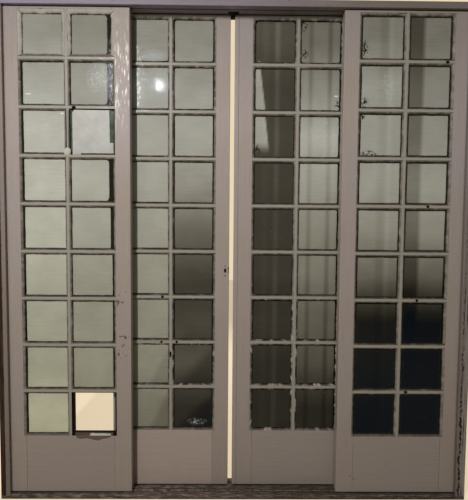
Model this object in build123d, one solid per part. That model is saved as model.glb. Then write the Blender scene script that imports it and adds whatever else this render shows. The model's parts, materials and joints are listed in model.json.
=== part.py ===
from build123d import *
import os

# A timber frame with four glazed sliding leaves, two on a front track and two on a rear one.
# X runs to the right, Y to the back and Z up. The origin is the middle of the sill's underside.

# Frame
clear_width = 2006.0
frame_depth = 136.0
sill_thickness = 20.0
head_thickness = 28.0
jamb_board = 28.0
bead_height = 11.0
bead_clearance = 2.0
housing_depth = 6.0
nosing_radius = 3.0

# Tracks
track_pitch = 60.0
leaf_thickness = 40.0
sill_gap = 5.0
head_gap = 4.0
tongue_thickness = 10.0
tongue_engagement = 9.0
tongue_side_gap = 1.0
tongue_top_gap = 7.0

# Running rails
rail_flange_width = 24.0
rail_flange_thickness = 2.0
rail_bead_width = 6.0
rail_groove_depth = 5.0
rail_groove_play = 0.2
rail_crown_above_sill = 2.0
rail_end_gap = 1.0
rail_pin_count = 4
rail_pin_shank = 3.0
rail_pin_head = 5.6
rail_pin_length = 13.0
rail_pin_end_margin = 140.0
rail_pin_offset = 7.4

# Leaves
row_count = 9
row_pitch = 206.0
bottom_rail_height = 264.0
top_rail_height = 18.0
bar_width = 25.0
nib_width = 12.0
rebate_depth = 13.0
frame_rebate = 9.5
back_chamfer = 6.0
arris = 1.5
nib_arris = 1.0
joint_chamfer = 1.2
outer_stile_width = 74.5
outer_pane_width = 183.0
inner_stile_width = 71.5
inner_pane_width = 178.0
outer_leaf_jamb_gap = 5.5
meeting_gap = 19.0
closing_face_x = -10.0
closing_strip_width = 18.0
closing_strip_round = 5.0

# Joinery of the leaves, where each cut reaches past the face that it breaks by the overcut
overcut = 1.0
tenon_play = 0.1
tenon_end_play = 1.0
bottom_tenon_length = 45.0
bottom_tenon_thickness = 14.0
bottom_tenon_margin = 40.0
top_tenon_length = 30.0
top_tenon_thickness = 12.0
top_tenon_margin = 3.0
bar_tenon_length = 22.0
bar_tenon_thickness = 12.0
bar_tenon_height = 14.0

# Glass and putty
glass_thickness = 3.0
glass_edge_gap = 1.5
putty_land = 0.8
putty_setback = 0.8

# Rollers
sheave_tread_radius = 15.0
sheave_flange = 3.0
sheave_flange_width = 2.5
tread_side_gap = 0.5
running_gap = 0.3
axle_radius = 3.0
axle_running_clearance = 0.05
axle_seat_play = 0.02
case_wall = 2.0
case_side_gap = 1.0
case_end_gap = 3.0
case_top_gap = 2.0
case_plate_length = 84.0
case_plate_width = 22.0
case_plate_thickness = 2.5
case_play = 0.3
case_from_stile = 62.0

# Lock in the second leaf and strike in the third
lock_height = 993.0
lock_backset = 17.5
lock_case_depth = 42.0
lock_case_height = 62.0
lock_case_thickness = 14.0
lock_wall = 1.8
lock_plate_height = 100.0
lock_plate_width = 18.0
lock_plate_thickness = 2.0
lock_play = 0.2
bolt_length = 26.0
bolt_height = 18.0
bolt_thickness = 7.0
bolt_play = 0.3
bolt_drop = 14.0
keyhole_radius = 4.0
keyhole_slot_width = 4.0
keyhole_slot_drop = 11.0
strike_height = 60.0
strike_width = 20.0
strike_thickness = 1.5
strike_hole_play = 1.5
strike_pocket_depth = 14.0

# Damage that the door has
missing_pane = (0, 1)
patched_pane = (6, 1)
loose_bar_row = 6
loose_bar_shift = 4.0
loose_bar_loss = 10.0
patch_thickness = 2.5
patch_left_gap = 11.0
patch_right_gap = 16.0
patch_top_gap = 3.0
patch_bottom_gap = 1.0
patch_corner_cut = 10.0
patch_foot_width = 35.0
patch_foot_height = 6.0
patch_tab_reach = 17.0
patch_tab_height = 46.0
lump_radius = 15.0
lump_height = 5.0
lump_shoulder_radius = 7.5
lump_shoulder_height = 3.75
remnant_left = 14.0
remnant_right = 22.0
remnant_slant = 18.0
edge_notch_radius = 4.5
edge_notch_depth = 6.0
broken_lip_depth = 3.5
chip_depth = 3.5
chip_offset = 3.0

# The broken lip under the missing pane, as points from the leaf's lower left corner
broken_lip = [
    (296, 246),
    (312, 240),
    (345, 243),
    (372, 236),
    (392, 232),
    (410, 240),
    (436, 244),
    (449, 250),
]

# Chips out of the bars' nibs, each as its place along the bar and its length
chips = {
    "leaf_1_bar_7": [(298.5, 18.0)],
    "leaf_2_bar_2": [(220.0, 8.0), (289.0, 9.0)],
    "leaf_2_bar_3": [(225.0, 10.0)],
    "leaf_2_row_1": [(148.5, 28.0)],
    "leaf_4_bar_1": [(304.0, 14.0)],
    "leaf_4_bar_3": [(342.0, 10.0)],
    "leaf_4_bar_5": [(378.0, 11.0)],
    "leaf_4_bar_8": [(444.0, 15.0)],
}

# Levels and places that follow from the sizes above
sight_height = row_pitch - bar_width
field_height = row_count * row_pitch - bar_width
leaf_height = bottom_rail_height + field_height + top_rail_height
leaf_bottom_z = sill_thickness + sill_gap
clear_height = sill_gap + leaf_height + head_gap
soffit_z = sill_thickness + clear_height
jamb_face_x = clear_width / 2
frame_side_x = jamb_face_x + jamb_board
tongue_height = head_gap + tongue_engagement
guide_groove_width = tongue_thickness + 2 * tongue_side_gap
guide_groove_depth = tongue_engagement + tongue_top_gap
rail_groove_width = rail_flange_width + 2 * rail_groove_play
rail_base_z = sill_thickness - rail_groove_depth
rail_crown_z = sill_thickness + rail_crown_above_sill
axle_z = rail_crown_z + running_gap + sheave_tread_radius - leaf_bottom_z
sheave_radius = sheave_tread_radius + sheave_flange
sheave_width = rail_bead_width + 2 * tread_side_gap + 2 * sheave_flange_width
glass_front = rebate_depth - glass_thickness
bar_rebate = (bar_width - nib_width) / 2
leaf_middle_y = leaf_thickness / 2
track_y = {"front": -track_pitch / 2, "rear": track_pitch / 2}


def block(x0, x1, y0, y1, z0, z1):
    """A straight piece of timber or metal between six faces."""
    centre = Pos((x0 + x1) / 2, (y0 + y1) / 2, (z0 + z1) / 2)
    return centre * Box(x1 - x0, y1 - y0, z1 - z0)


def along_x(points, x0, x1):
    """A moulding with the section points (y, z), run along X."""
    section = Plane.YZ.offset(x0) * make_face(Polyline(*points, close=True))
    return extrude(section, amount=x1 - x0)


def along_z(points, z0, z1):
    """A moulding with the section points (x, y), run along Z."""
    section = Plane.XY.offset(z0) * make_face(Polyline(*points, close=True))
    return extrude(section, amount=z1 - z0)


def upright_rectangle(x0, x1, z0, z1, y):
    """A rectangle that faces the front, at depth y."""
    middle = ((x0 + x1) / 2, y, (z0 + z1) / 2)
    plane = Plane(origin=middle, x_dir=(1, 0, 0), z_dir=(0, -1, 0))
    return plane * Rectangle(x1 - x0, z1 - z0)


def tapered(front, front_y, back, back_y):
    """A hollow to cut out that runs from one upright rectangle to another."""
    near = upright_rectangle(*front, front_y)
    far = upright_rectangle(*back, back_y)
    return loft([near, far])


def grown(rectangle, margin):
    """The rectangle (x0, x1, z0, z1) with a margin added all round."""
    x0, x1, z0, z1 = rectangle
    return (x0 - margin, x1 + margin, z0 - margin, z1 + margin)


def write(name, shape):
    """Keep a node, with its solids side by side in one file."""
    solids = shape if isinstance(shape, list) else [shape]
    parts = [solid for piece in solids for solid in piece.solids()]
    node = parts[0] if len(parts) == 1 else Compound(children=parts)
    node.label = name
    export_step(node, os.path.join("parts", name + ".step"))


# Frame


def jamb():
    """The right jamb: a board whose three beads leave a shallow groove for each track."""
    front = -frame_depth / 2
    leaf_front = track_y["front"] - leaf_middle_y - bead_clearance
    leaf_back = track_y["front"] + leaf_middle_y + bead_clearance
    face = jamb_face_x
    nose = jamb_face_x - bead_height
    points = [
        (frame_side_x, front),
        (nose + arris, front),
        (nose, front + arris),
        (nose, leaf_front),
        (face, leaf_front),
        (face, leaf_back),
        (nose, leaf_back),
        (nose, -leaf_back),
        (face, -leaf_back),
        (face, -leaf_front),
        (nose, -leaf_front),
        (nose, -front - arris),
        (nose + arris, -front),
        (frame_side_x, -front),
    ]
    return along_z(points, sill_thickness - housing_depth, soffit_z + housing_depth)


def sill(jambs):
    """The sill with a running groove under each track and housings for the jambs."""
    front = -frame_depth / 2
    points = [(front, 0), (-front, 0), (-front, sill_thickness)]
    for y in (track_y["rear"], track_y["front"]):
        right = y + rail_groove_width / 2
        left = y - rail_groove_width / 2
        points += [(right, sill_thickness), (right, rail_base_z)]
        points += [(left, rail_base_z), (left, sill_thickness)]
    points += [(front + nosing_radius, sill_thickness), (front, sill_thickness - nosing_radius)]
    board = along_x(points, -frame_side_x, frame_side_x)
    for piece in jambs:
        board -= piece
    return board


def head(jambs):
    """The head with a narrow guide groove over each track and housings for the jambs."""
    front = -frame_depth / 2
    top = soffit_z + head_thickness
    points = [(front, top), (-front, top), (-front, soffit_z)]
    for y in (track_y["rear"], track_y["front"]):
        right = y + guide_groove_width / 2
        left = y - guide_groove_width / 2
        points += [(right, soffit_z), (right, soffit_z + guide_groove_depth)]
        points += [(left, soffit_z + guide_groove_depth), (left, soffit_z)]
    points += [(front + arris, soffit_z), (front, soffit_z + arris)]
    board = along_x(points, -frame_side_x, frame_side_x)
    for piece in jambs:
        board -= piece
    return board


def rail_pin_places(y):
    """Where the pins of a rail stand, to its two sides in turn."""
    reach = jamb_face_x - rail_pin_end_margin
    step = 2 * reach / (rail_pin_count - 1)
    side = [1, -1]
    return [(-reach + i * step, y + side[i % 2] * rail_pin_offset) for i in range(rail_pin_count)]


def rail_pin():
    """A countersunk pin, its head flush with the rail's flange."""
    shank = rail_pin_shank / 2
    rim = rail_pin_head / 2
    cone = rim - shank
    tip = -rail_pin_length
    outline = Polyline((0, 0), (rim, 0), (shank, -cone), (shank, tip), (0, tip), close=True)
    return revolve(Plane.XZ * make_face(outline), axis=Axis.Z)


def rail(y, pins):
    """A steel rail with a round crown over a flange that lies in the sill's groove."""
    top = rail_crown_z
    radius = rail_bead_width / 2
    half = rail_flange_width / 2
    shelf = rail_base_z + rail_flange_thickness
    edges = Polyline(
        (y - radius, top - radius),
        (y - radius, shelf),
        (y - half, shelf),
        (y - half, rail_base_z),
        (y + half, rail_base_z),
        (y + half, shelf),
        (y + radius, shelf),
        (y + radius, top - radius),
    )
    crown = ThreePointArc((y + radius, top - radius), (y, top), (y - radius, top - radius))
    section = Plane.YZ.offset(-jamb_face_x + rail_end_gap) * make_face(edges + crown)
    bar = extrude(section, amount=2 * (jamb_face_x - rail_end_gap))
    for pin in pins:
        bar -= pin
    return bar


# Leaves


class Leaf:
    """The sizes of one leaf, measured from its lower left front corner."""

    def __init__(self, stile_width, pane_width):
        self.stile = stile_width
        self.width = 2 * stile_width + 2 * pane_width + bar_width
        self.left = stile_width
        self.right = self.width - stile_width
        self.middle = self.width / 2
        self.bottom = bottom_rail_height
        self.top = bottom_rail_height + field_height
        self.field = (self.left, self.right, self.bottom, self.top)

    def bar_z(self, i):
        """The middle of horizontal bar i, where bar 0 would be in the bottom rail."""
        return self.bottom + i * row_pitch - bar_width / 2

    def sight(self, row, column):
        """The clear glass of a pane, row 0 at the bottom."""
        z0 = self.bottom + row * row_pitch
        if column == 0:
            return (self.left, self.middle - bar_width / 2, z0, z0 + sight_height)
        return (self.middle + bar_width / 2, self.right, z0, z0 + sight_height)

    def rebate(self, row, column):
        """The rebate that a pane lies in, wider along stiles and rails than along bars."""
        x0, x1, z0, z1 = self.sight(row, column)
        x0 -= frame_rebate if column == 0 else bar_rebate
        x1 += bar_rebate if column == 0 else frame_rebate
        z0 -= frame_rebate if row == 0 else bar_rebate
        z1 += frame_rebate if row == row_count - 1 else bar_rebate
        return (x0, x1, z0, z1)


def glazing_hollow(leaf):
    """What the stiles and rails lose round the glass: a rebate in front, a chamfer behind."""
    x0, x1, z0, z1 = grown(leaf.field, frame_rebate)
    front = block(x0, x1, -overcut, rebate_depth, z0, z1)
    wide = grown(leaf.field, back_chamfer + overcut)
    back = tapered(leaf.field, leaf_thickness - back_chamfer, wide, leaf_thickness + overcut)
    return [front, back]


def bottom_tenon(leaf, play=0.0):
    """The tenon of the bottom rail in the left stile, or its mortise with some play."""
    y0 = leaf_middle_y - bottom_tenon_thickness / 2
    y1 = leaf_middle_y + bottom_tenon_thickness / 2
    z0 = bottom_tenon_margin
    z1 = bottom_rail_height - bottom_tenon_margin
    end = leaf.left - bottom_tenon_length - (tenon_end_play if play else 0)
    return block(end, leaf.left, y0 - play, y1 + play, z0 - play, z1 + play)


def top_tenon(leaf, play=0.0):
    """The tenon of the top rail in the left stile, or its mortise with some play."""
    y0 = leaf_middle_y - top_tenon_thickness / 2
    y1 = leaf_middle_y + top_tenon_thickness / 2
    z0 = leaf.top + top_tenon_margin
    z1 = leaf_height - top_tenon_margin
    end = leaf.left - top_tenon_length - (tenon_end_play if play else 0)
    return block(end, leaf.left, y0 - play, y1 + play, z0 - play, z1 + play)


def bar_tenon(leaf, z, play=0.0):
    """The tenon of a glazing bar in the left stile, or its mortise with some play."""
    y0 = leaf_middle_y - bar_tenon_thickness / 2
    y1 = leaf_middle_y + bar_tenon_thickness / 2
    half = bar_tenon_height / 2 + play
    end = leaf.left - bar_tenon_length - (tenon_end_play if play else 0)
    return block(end, leaf.left, y0 - play, y1 + play, z - half, z + half)


def other_side(leaf, shape):
    """The same form on the other side of the leaf."""
    return mirror(shape, about=Plane.YZ.offset(leaf.middle))


def left_stile(leaf):
    """The left stile with its tongue, its rebate and its mortises."""
    points = [
        (arris, 0),
        (leaf.left, 0),
        (leaf.left, leaf_thickness),
        (arris, leaf_thickness),
        (0, leaf_thickness - arris),
        (0, arris),
    ]
    stile = along_z(points, 0, leaf_height)
    stile += block(
        0,
        leaf.left,
        leaf_middle_y - tongue_thickness / 2,
        leaf_middle_y + tongue_thickness / 2,
        leaf_height,
        leaf_height + tongue_height,
    )
    for hollow in glazing_hollow(leaf):
        stile -= hollow
    stile -= bottom_tenon(leaf, tenon_play)
    stile -= top_tenon(leaf, tenon_play)
    for i in range(1, row_count):
        stile -= bar_tenon(leaf, leaf.bar_z(i), tenon_play)
    return stile


def shoulder_chamfer(leaf, z0, z1):
    """What a rail loses at its left front shoulder, so that the joint shows as a fine line."""
    near = leaf.left - overcut
    reach = joint_chamfer + overcut
    points = [(near, -overcut), (leaf.left + reach, -overcut), (near, reach)]
    return along_z(points, z0, z1)


def rail_blank(leaf, z0, z1):
    """A rail between the stiles, with its rebate, its chamfer and its two joint lines."""
    rail_piece = block(leaf.left, leaf.right, 0, leaf_thickness, z0, z1)
    for hollow in glazing_hollow(leaf):
        rail_piece -= hollow
    sliver = shoulder_chamfer(leaf, z0, z1)
    rail_piece -= sliver
    rail_piece -= other_side(leaf, sliver)
    return rail_piece


def bottom_rail_blank(leaf):
    """The bottom rail before its tenons and pockets."""
    return rail_blank(leaf, 0, leaf.bottom)


def top_rail_blank(leaf):
    """The top rail before its tenons."""
    return rail_blank(leaf, leaf.top, leaf_height)


def bottom_rail(leaf):
    """The deep bottom rail, tenoned at both ends and cut for the two roller cases."""
    rail_piece = bottom_rail_blank(leaf)
    tenon = bottom_tenon(leaf)
    rail_piece += tenon
    rail_piece += other_side(leaf, tenon)
    for x in roller_places(leaf):
        rail_piece -= Pos(x, 0, 0) * case_outside(case_play)
    return rail_piece


def lip_break(leaf):
    """The splintered hollow in the bottom rail's front, below the missing pane."""
    top = leaf.bottom - frame_rebate + overcut
    outline = [(broken_lip[0][0], top)] + broken_lip + [(broken_lip[-1][0], top)]
    face = Plane.XZ * make_face(Polyline(*outline, close=True))
    return Pos(0, -overcut, 0) * extrude(face, amount=-broken_lip_depth - overcut)


def top_rail(leaf):
    """The slender top rail, tenoned at both ends, with its guide tongue."""
    rail_piece = top_rail_blank(leaf)
    tenon = top_tenon(leaf)
    rail_piece += tenon
    rail_piece += other_side(leaf, tenon)
    rail_piece += block(
        leaf.left,
        leaf.right,
        leaf_middle_y - tongue_thickness / 2,
        leaf_middle_y + tongue_thickness / 2,
        leaf_height,
        leaf_height + tongue_height,
    )
    return rail_piece


def bar_section(place):
    """Points across a glazing bar, as (side, depth): a nib in front, a moulded back."""
    nib = nib_width / 2
    half = bar_width / 2
    shoulder = leaf_thickness - back_chamfer
    points = [
        (nib - nib_arris, 0),
        (nib, nib_arris),
        (nib, rebate_depth),
        (half, rebate_depth),
        (half, shoulder),
        (half - back_chamfer, leaf_thickness),
        (-half + back_chamfer, leaf_thickness),
        (-half, shoulder),
        (-half, rebate_depth),
        (-nib, rebate_depth),
        (-nib, nib_arris),
        (-nib + nib_arris, 0),
    ]
    return [(place + side, depth) for side, depth in points]


def horizontal_prism(z, x0, x1):
    """A length of glazing bar that lies level, with square ends."""
    return along_x([(depth, side) for side, depth in bar_section(z)], x0, x1)


def scoop(length):
    """A shallow round cut of the given length, which takes a chip out of a level nib."""
    radius = (length ** 2 / 4 + chip_depth ** 2) / (2 * chip_depth)
    return Pos(0, chip_depth - radius, 0) * Cylinder(radius, nib_width)


def horizontal_bars(name, leaf, left, right):
    """The continuous bars, scribed to the stiles and tenoned into them."""
    z = leaf.bar_z(1)
    bar = horizontal_prism(z, leaf.left - frame_rebate, leaf.right + frame_rebate)
    bar -= left
    bar -= right
    tenon = bar_tenon(leaf, z)
    bar += tenon
    bar += other_side(leaf, tenon)
    bars = []
    for i in range(1, row_count):
        chipped = Pos(0, 0, leaf.bar_z(i) - z) * bar
        for x, length in chips.get(name + "_bar_" + str(i), []):
            chipped -= Pos(x, 0, leaf.bar_z(i) + chip_offset) * scoop(length)
        bars.append(chipped)
    return bars


def vertical_bars(name, leaf, damaged):
    """The short bars between the continuous ones, scribed over them."""
    bars = []
    lower = bottom_rail_blank(leaf)
    upper = top_rail_blank(leaf)
    side_x = (leaf.middle - bar_width, leaf.middle + bar_width)
    for row in range(row_count):
        bar = along_z(bar_section(leaf.middle), leaf.bar_z(row), leaf.bar_z(row + 1))
        bar -= lower if row == 0 else horizontal_prism(leaf.bar_z(row), *side_x)
        last = row == row_count - 1
        bar -= upper if last else horizontal_prism(leaf.bar_z(row + 1), *side_x)
        if damaged and row == loose_bar_row:
            bar = displaced(leaf, bar)
        for z, length in chips.get(name + "_row_" + str(row), []):
            place = Pos(leaf.middle - chip_offset, 0, leaf.bar_z(row) + z)
            bar -= place * Rotation(0, 90, 0) * scoop(length)
        bars.append(bar)
    return bars


def displaced(leaf, bar):
    """A bar that has slipped sideways out of its seat and lost its lower end."""
    z0 = leaf.bar_z(loose_bar_row)
    stub_top = z0 + bar_width / 2 + loose_bar_loss
    left = leaf.middle - bar_width
    right = leaf.middle + bar_width
    stub = block(left, right, -overcut, leaf_thickness + overcut, z0, stub_top)
    return Pos(loose_bar_shift, 0, 0) * (bar - stub)


def panes(leaf, left_out, narrowed):
    """The panes of a leaf, each a little smaller than its rebate, and one cut for the slipped bar."""
    glass = []
    for row in range(row_count):
        for column in range(2):
            if (row, column) not in left_out:
                x0, x1, z0, z1 = grown(leaf.rebate(row, column), -glass_edge_gap)
                if (row, column) == narrowed:
                    x0 += loose_bar_shift
                glass.append(block(x0, x1, glass_front, rebate_depth, z0, z1))
    return glass


def putty(leaf, left_out):
    """The putty fillets, sloping from the front of the rebate to the sight line."""
    fillets = []
    for row in range(row_count):
        for column in range(2):
            if (row, column) not in left_out:
                rebate = leaf.rebate(row, column)
                x0, x1, z0, z1 = rebate
                ring = block(x0, x1, putty_setback, glass_front, z0, z1)
                near = grown(rebate, -putty_land)
                far = leaf.sight(row, column)
                fillets.append(ring - tapered(near, putty_setback, far, glass_front))
    return fillets


def putty_remnant(leaf):
    """What is left of the putty under the missing pane, broken off at both ends."""
    x0, x1, z0, z1 = leaf.rebate(*missing_pane)
    points = [
        (putty_setback, z0),
        (rebate_depth, z0),
        (rebate_depth, z0 + frame_rebate),
        (glass_front, z0 + frame_rebate),
        (putty_setback, z0 + putty_land),
    ]
    strip = along_x(points, x0 + remnant_left, x1 - remnant_right)
    break_x = x1 - remnant_right
    wedge = Plane.XZ * make_face(
        Polyline(
            (break_x + overcut, z0 + putty_land),
            (break_x + overcut, z0 + frame_rebate + overcut),
            (break_x - remnant_slant, z0 + frame_rebate + overcut),
            close=True,
        )
    )
    return strip - extrude(wedge, amount=-leaf_thickness)


def putty_lump(leaf):
    """A dome of filler over the crossing below the slipped bar."""
    z = leaf.bar_z(loose_bar_row) + bar_width / 2 + loose_bar_loss / 2
    shoulder = (lump_shoulder_radius, -lump_shoulder_height)
    arc = ThreePointArc((0, -lump_height), shoulder, (lump_radius, 0))
    edges = Polyline((lump_radius, 0), (0, 0), (0, -lump_height))
    dome = revolve(make_face(edges + arc), axis=Axis.Y)
    nib = nib_width / 2
    plug_bottom = leaf.bar_z(loose_bar_row) + nib_width / 2
    plug_top = leaf.bar_z(loose_bar_row) + bar_width / 2 + loose_bar_loss
    plug = block(leaf.middle - nib, leaf.middle + nib, 0, rebate_depth, plug_bottom, plug_top)
    return Pos(leaf.middle, 0, z) * dome + plug


def patch_sheet(leaf):
    """A loose sheet over the patched pane, too narrow for it, with a foot and a tab."""
    x0, x1, z0, z1 = leaf.rebate(*patched_pane)
    left = x0 + loose_bar_shift + patch_left_gap
    right = x1 - frame_rebate - patch_right_gap
    foot = z0 + patch_bottom_gap
    low = foot + patch_foot_height
    top = z1 - patch_top_gap
    points = [
        (left, foot),
        (left + patch_foot_width, foot),
        (left + patch_foot_width, low),
        (right + patch_tab_reach, low),
        (right + patch_tab_reach, low + patch_tab_height),
        (right, low + patch_tab_height),
        (right, top),
        (left + patch_corner_cut, top),
        (left, top - patch_corner_cut),
    ]
    face = Plane.XZ * make_face(Polyline(*points, close=True))
    return Pos(0, glass_front - patch_thickness, 0) * extrude(face, amount=-patch_thickness)


# Rollers


def roller_places(leaf):
    """Where the two rollers of a leaf stand in its bottom rail."""
    return [leaf.left + case_from_stile, leaf.right - case_from_stile]


def case_outside(play=0.0):
    """The outer form of a roller case at X 0, or the pocket for it with some play."""
    length = sheave_radius + case_end_gap + case_wall + play
    width = sheave_width / 2 + case_side_gap + case_wall + play
    top = axle_z + sheave_radius + case_top_gap + case_wall + play
    box = block(-length, length, leaf_middle_y - width, leaf_middle_y + width, 0, top)
    plate_x = case_plate_length / 2 + play
    plate_y = case_plate_width / 2 + play
    plate = block(
        -plate_x,
        plate_x,
        leaf_middle_y - plate_y,
        leaf_middle_y + plate_y,
        0,
        case_plate_thickness + play,
    )
    return box + plate


def roller_case():
    """A pressed case, open below, with an axle hole in each cheek."""
    length = sheave_radius + case_end_gap
    width = sheave_width / 2 + case_side_gap
    top = axle_z + sheave_radius + case_top_gap
    hollow = block(-length, length, leaf_middle_y - width, leaf_middle_y + width, -overcut, top)
    return case_outside() - hollow - axle(axle_seat_play)


def axle(play=0.0):
    """The axle across a roller case, or its holes with some play."""
    length = sheave_width + 2 * (case_side_gap + case_wall)
    turned = Rotation(90, 0, 0) * Cylinder(axle_radius + play, length + 2 * play)
    return Pos(0, leaf_middle_y, axle_z) * turned


def sheave():
    """A grooved sheave, turned about the axle."""
    half = sheave_width / 2
    tread = half - sheave_flange_width
    bore = axle_radius + axle_running_clearance
    outline = Polyline(
        (bore, -half),
        (sheave_radius, -half),
        (sheave_radius, -tread - tread_side_gap),
        (sheave_tread_radius, -tread),
        (sheave_tread_radius, tread),
        (sheave_radius, tread + tread_side_gap),
        (sheave_radius, half),
        (bore, half),
        close=True,
    )
    wheel = revolve(make_face(outline), axis=Axis.Y)
    return Pos(0, leaf_middle_y, axle_z) * wheel


# Lock and strike


def keyhole(leaf, y0, y1):
    """A keyhole cut from depth y0 to y1."""
    x = leaf.width - lock_backset
    round_part = Rotation(90, 0, 0) * Cylinder(keyhole_radius, y1 - y0)
    slot_x = keyhole_slot_width / 2
    slot = block(x - slot_x, x + slot_x, y0, y1, lock_height - keyhole_slot_drop, lock_height)
    return Pos(x, (y0 + y1) / 2, lock_height) * round_part + slot


def lock_case_outside(leaf, play=0.0):
    """The lock case with its face plate, or the mortise for it with some play."""
    edge = leaf.width
    half_y = lock_case_thickness / 2 + play
    half_z = lock_case_height / 2 + play
    case = block(
        edge - lock_case_depth - play,
        edge,
        leaf_middle_y - half_y,
        leaf_middle_y + half_y,
        lock_height - bolt_drop / 2 - half_z,
        lock_height - bolt_drop / 2 + half_z,
    )
    plate_y = lock_plate_width / 2 + play
    plate_z = lock_plate_height / 2 + play
    plate = block(
        edge - lock_plate_thickness - play,
        edge,
        leaf_middle_y - plate_y,
        leaf_middle_y + plate_y,
        lock_height - bolt_drop / 2 - plate_z,
        lock_height - bolt_drop / 2 + plate_z,
    )
    return case + plate


def bolt_block(leaf, play=0.0):
    """The bolt, drawn back flush with the plate, or the way for it with some play."""
    z = lock_height - bolt_drop - bolt_height / 2
    half_y = bolt_thickness / 2 + play
    end = leaf.width + (overcut if play else 0)
    return block(
        leaf.width - bolt_length - play,
        end,
        leaf_middle_y - half_y,
        leaf_middle_y + half_y,
        z - bolt_height / 2 - play,
        z + bolt_height / 2 + play,
    )


def lock_case(leaf):
    """A hollow mortise lock case with a keyhole through both cheeks."""
    edge = leaf.width
    half_y = lock_case_thickness / 2 - lock_wall
    half_z = lock_case_height / 2 - lock_wall
    middle_z = lock_height - bolt_drop / 2
    hollow = block(
        edge - lock_case_depth + lock_wall,
        edge - lock_plate_thickness,
        leaf_middle_y - half_y,
        leaf_middle_y + half_y,
        middle_z - half_z,
        middle_z + half_z,
    )
    case = lock_case_outside(leaf) - hollow
    case -= bolt_block(leaf, bolt_play)
    case -= keyhole(leaf, 0, leaf_thickness)
    return case


def locked_stile(leaf, stile):
    """The stile with the lock's mortise, its keyhole and a worn notch in the arris beside it."""
    stile -= lock_case_outside(leaf, lock_play)
    stile -= keyhole(leaf, -overcut, leaf_thickness + overcut)
    depth = edge_notch_depth + overcut
    notch = Rotation(90, 0, 0) * Cylinder(edge_notch_radius, depth)
    return stile - Pos(leaf.width, edge_notch_depth - depth / 2, lock_height) * notch


def strike_place():
    """The height of the bolt above the leaf's lower edge."""
    return lock_height - bolt_drop - bolt_height / 2


def strike_outside(play=0.0):
    """The strike plate on the closing strip, or the recess for it."""
    half_y = strike_width / 2 + play
    half_z = strike_height / 2 + play
    z = strike_place()
    return block(
        -closing_strip_width,
        -closing_strip_width + strike_thickness,
        leaf_middle_y - half_y,
        leaf_middle_y + half_y,
        z - half_z,
        z + half_z,
    )


def bolt_pocket():
    """The way for the thrown bolt through the strike and into the strip."""
    half_y = bolt_thickness / 2 + strike_hole_play
    half_z = bolt_height / 2 + strike_hole_play
    z = strike_place()
    return block(
        -closing_strip_width - overcut,
        -closing_strip_width + strike_pocket_depth,
        leaf_middle_y - half_y,
        leaf_middle_y + half_y,
        z - half_z,
        z + half_z,
    )


def closing_strip():
    """The strip along the third leaf's meeting edge, with rounded arrises."""
    nose = closing_strip_round
    w = closing_strip_width
    t = leaf_thickness
    k = nose * (1 - 2 ** -0.5)
    edges = Polyline((-w + nose, 0), (0, 0), (0, t), (-w + nose, t))
    back_round = ThreePointArc((-w + nose, t), (-w + k, t - k), (-w, t - nose))
    face = Line((-w, t - nose), (-w, nose))
    front_round = ThreePointArc((-w, nose), (-w + k, k), (-w + nose, 0))
    section = make_face(edges + back_round + face + front_round)
    strip = extrude(section, amount=leaf_height)
    return strip - strike_outside() - bolt_pocket()


def strike():
    """The strike plate with its hole for the bolt."""
    return strike_outside() - bolt_pocket()


# The whole door


def leaf_places():
    """Each leaf's sizes, the X of its left edge and its track."""
    outer = Leaf(outer_stile_width, outer_pane_width)
    inner = Leaf(inner_stile_width, inner_pane_width)
    outer_left = -jamb_face_x + outer_leaf_jamb_gap
    return {
        "leaf_1": (outer, outer_left, "front"),
        "leaf_2": (inner, closing_face_x - meeting_gap - inner.width, "rear"),
        "leaf_3": (inner, closing_face_x + closing_strip_width, "rear"),
        "leaf_4": (outer, -outer_left - outer.width, "front"),
    }


def build_frame():
    """Write the frame and its running rails."""
    right = jamb()
    left = mirror(right, about=Plane.YZ)
    write("left_jamb", left)
    write("right_jamb", right)
    board = sill([left, right])
    pins = []
    for name, y in track_y.items():
        shelf = rail_base_z + rail_flange_thickness
        track_pins = [Pos(x, place, shelf) * rail_pin() for x, place in rail_pin_places(y)]
        write(name + "_rail", rail(y, track_pins))
        pins += track_pins
    for pin in pins:
        board -= pin
    write("sill", board)
    write("head", head([left, right]))
    write("rail_pins", pins)


def build_leaf(name, leaf, left_x, track):
    """Write one leaf with its glass, putty and rollers."""
    damaged = name == "leaf_1"
    place = Pos(left_x, track_y[track] - leaf_middle_y, leaf_bottom_z)

    def keep(node, pieces):
        pieces = pieces if isinstance(pieces, list) else [pieces]
        write(name + "_" + node, [place * piece for piece in pieces])

    left = left_stile(leaf)
    right = other_side(leaf, left)
    keep("horizontal_bars", horizontal_bars(name, leaf, left, right))
    keep("vertical_bars", vertical_bars(name, leaf, damaged))
    keep("left_stile", left)
    keep("right_stile", locked_stile(leaf, right) if name == "leaf_2" else right)
    lower = bottom_rail(leaf)
    keep("bottom_rail", lower - lip_break(leaf) if damaged else lower)
    keep("top_rail", top_rail(leaf))
    fillets = putty(leaf, [missing_pane, patched_pane] if damaged else [])
    keep("panes", panes(leaf, [missing_pane], patched_pane) if damaged else panes(leaf, [], None))
    if damaged:
        fillets += [putty_remnant(leaf), putty_lump(leaf)]
        keep("patch_sheet", patch_sheet(leaf))
    keep("putty", fillets)
    rollers = [Pos(x, 0, 0) for x in roller_places(leaf)]
    keep("roller_cases", [spot * roller_case() for spot in rollers])
    keep("axles", [spot * axle() for spot in rollers])
    keep("left_sheave", rollers[0] * sheave())
    keep("right_sheave", rollers[1] * sheave())
    if name == "leaf_2":
        keep("lock_case", lock_case(leaf))
        keep("lock_bolt", bolt_block(leaf))
    if name == "leaf_3":
        keep("closing_strip", closing_strip())
        keep("strike", strike())


os.makedirs("parts", exist_ok=True)
build_frame()
for leaf_name, (leaf_size, leaf_left_x, leaf_track) in leaf_places().items():
    build_leaf(leaf_name, leaf_size, leaf_left_x, leaf_track)
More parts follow.
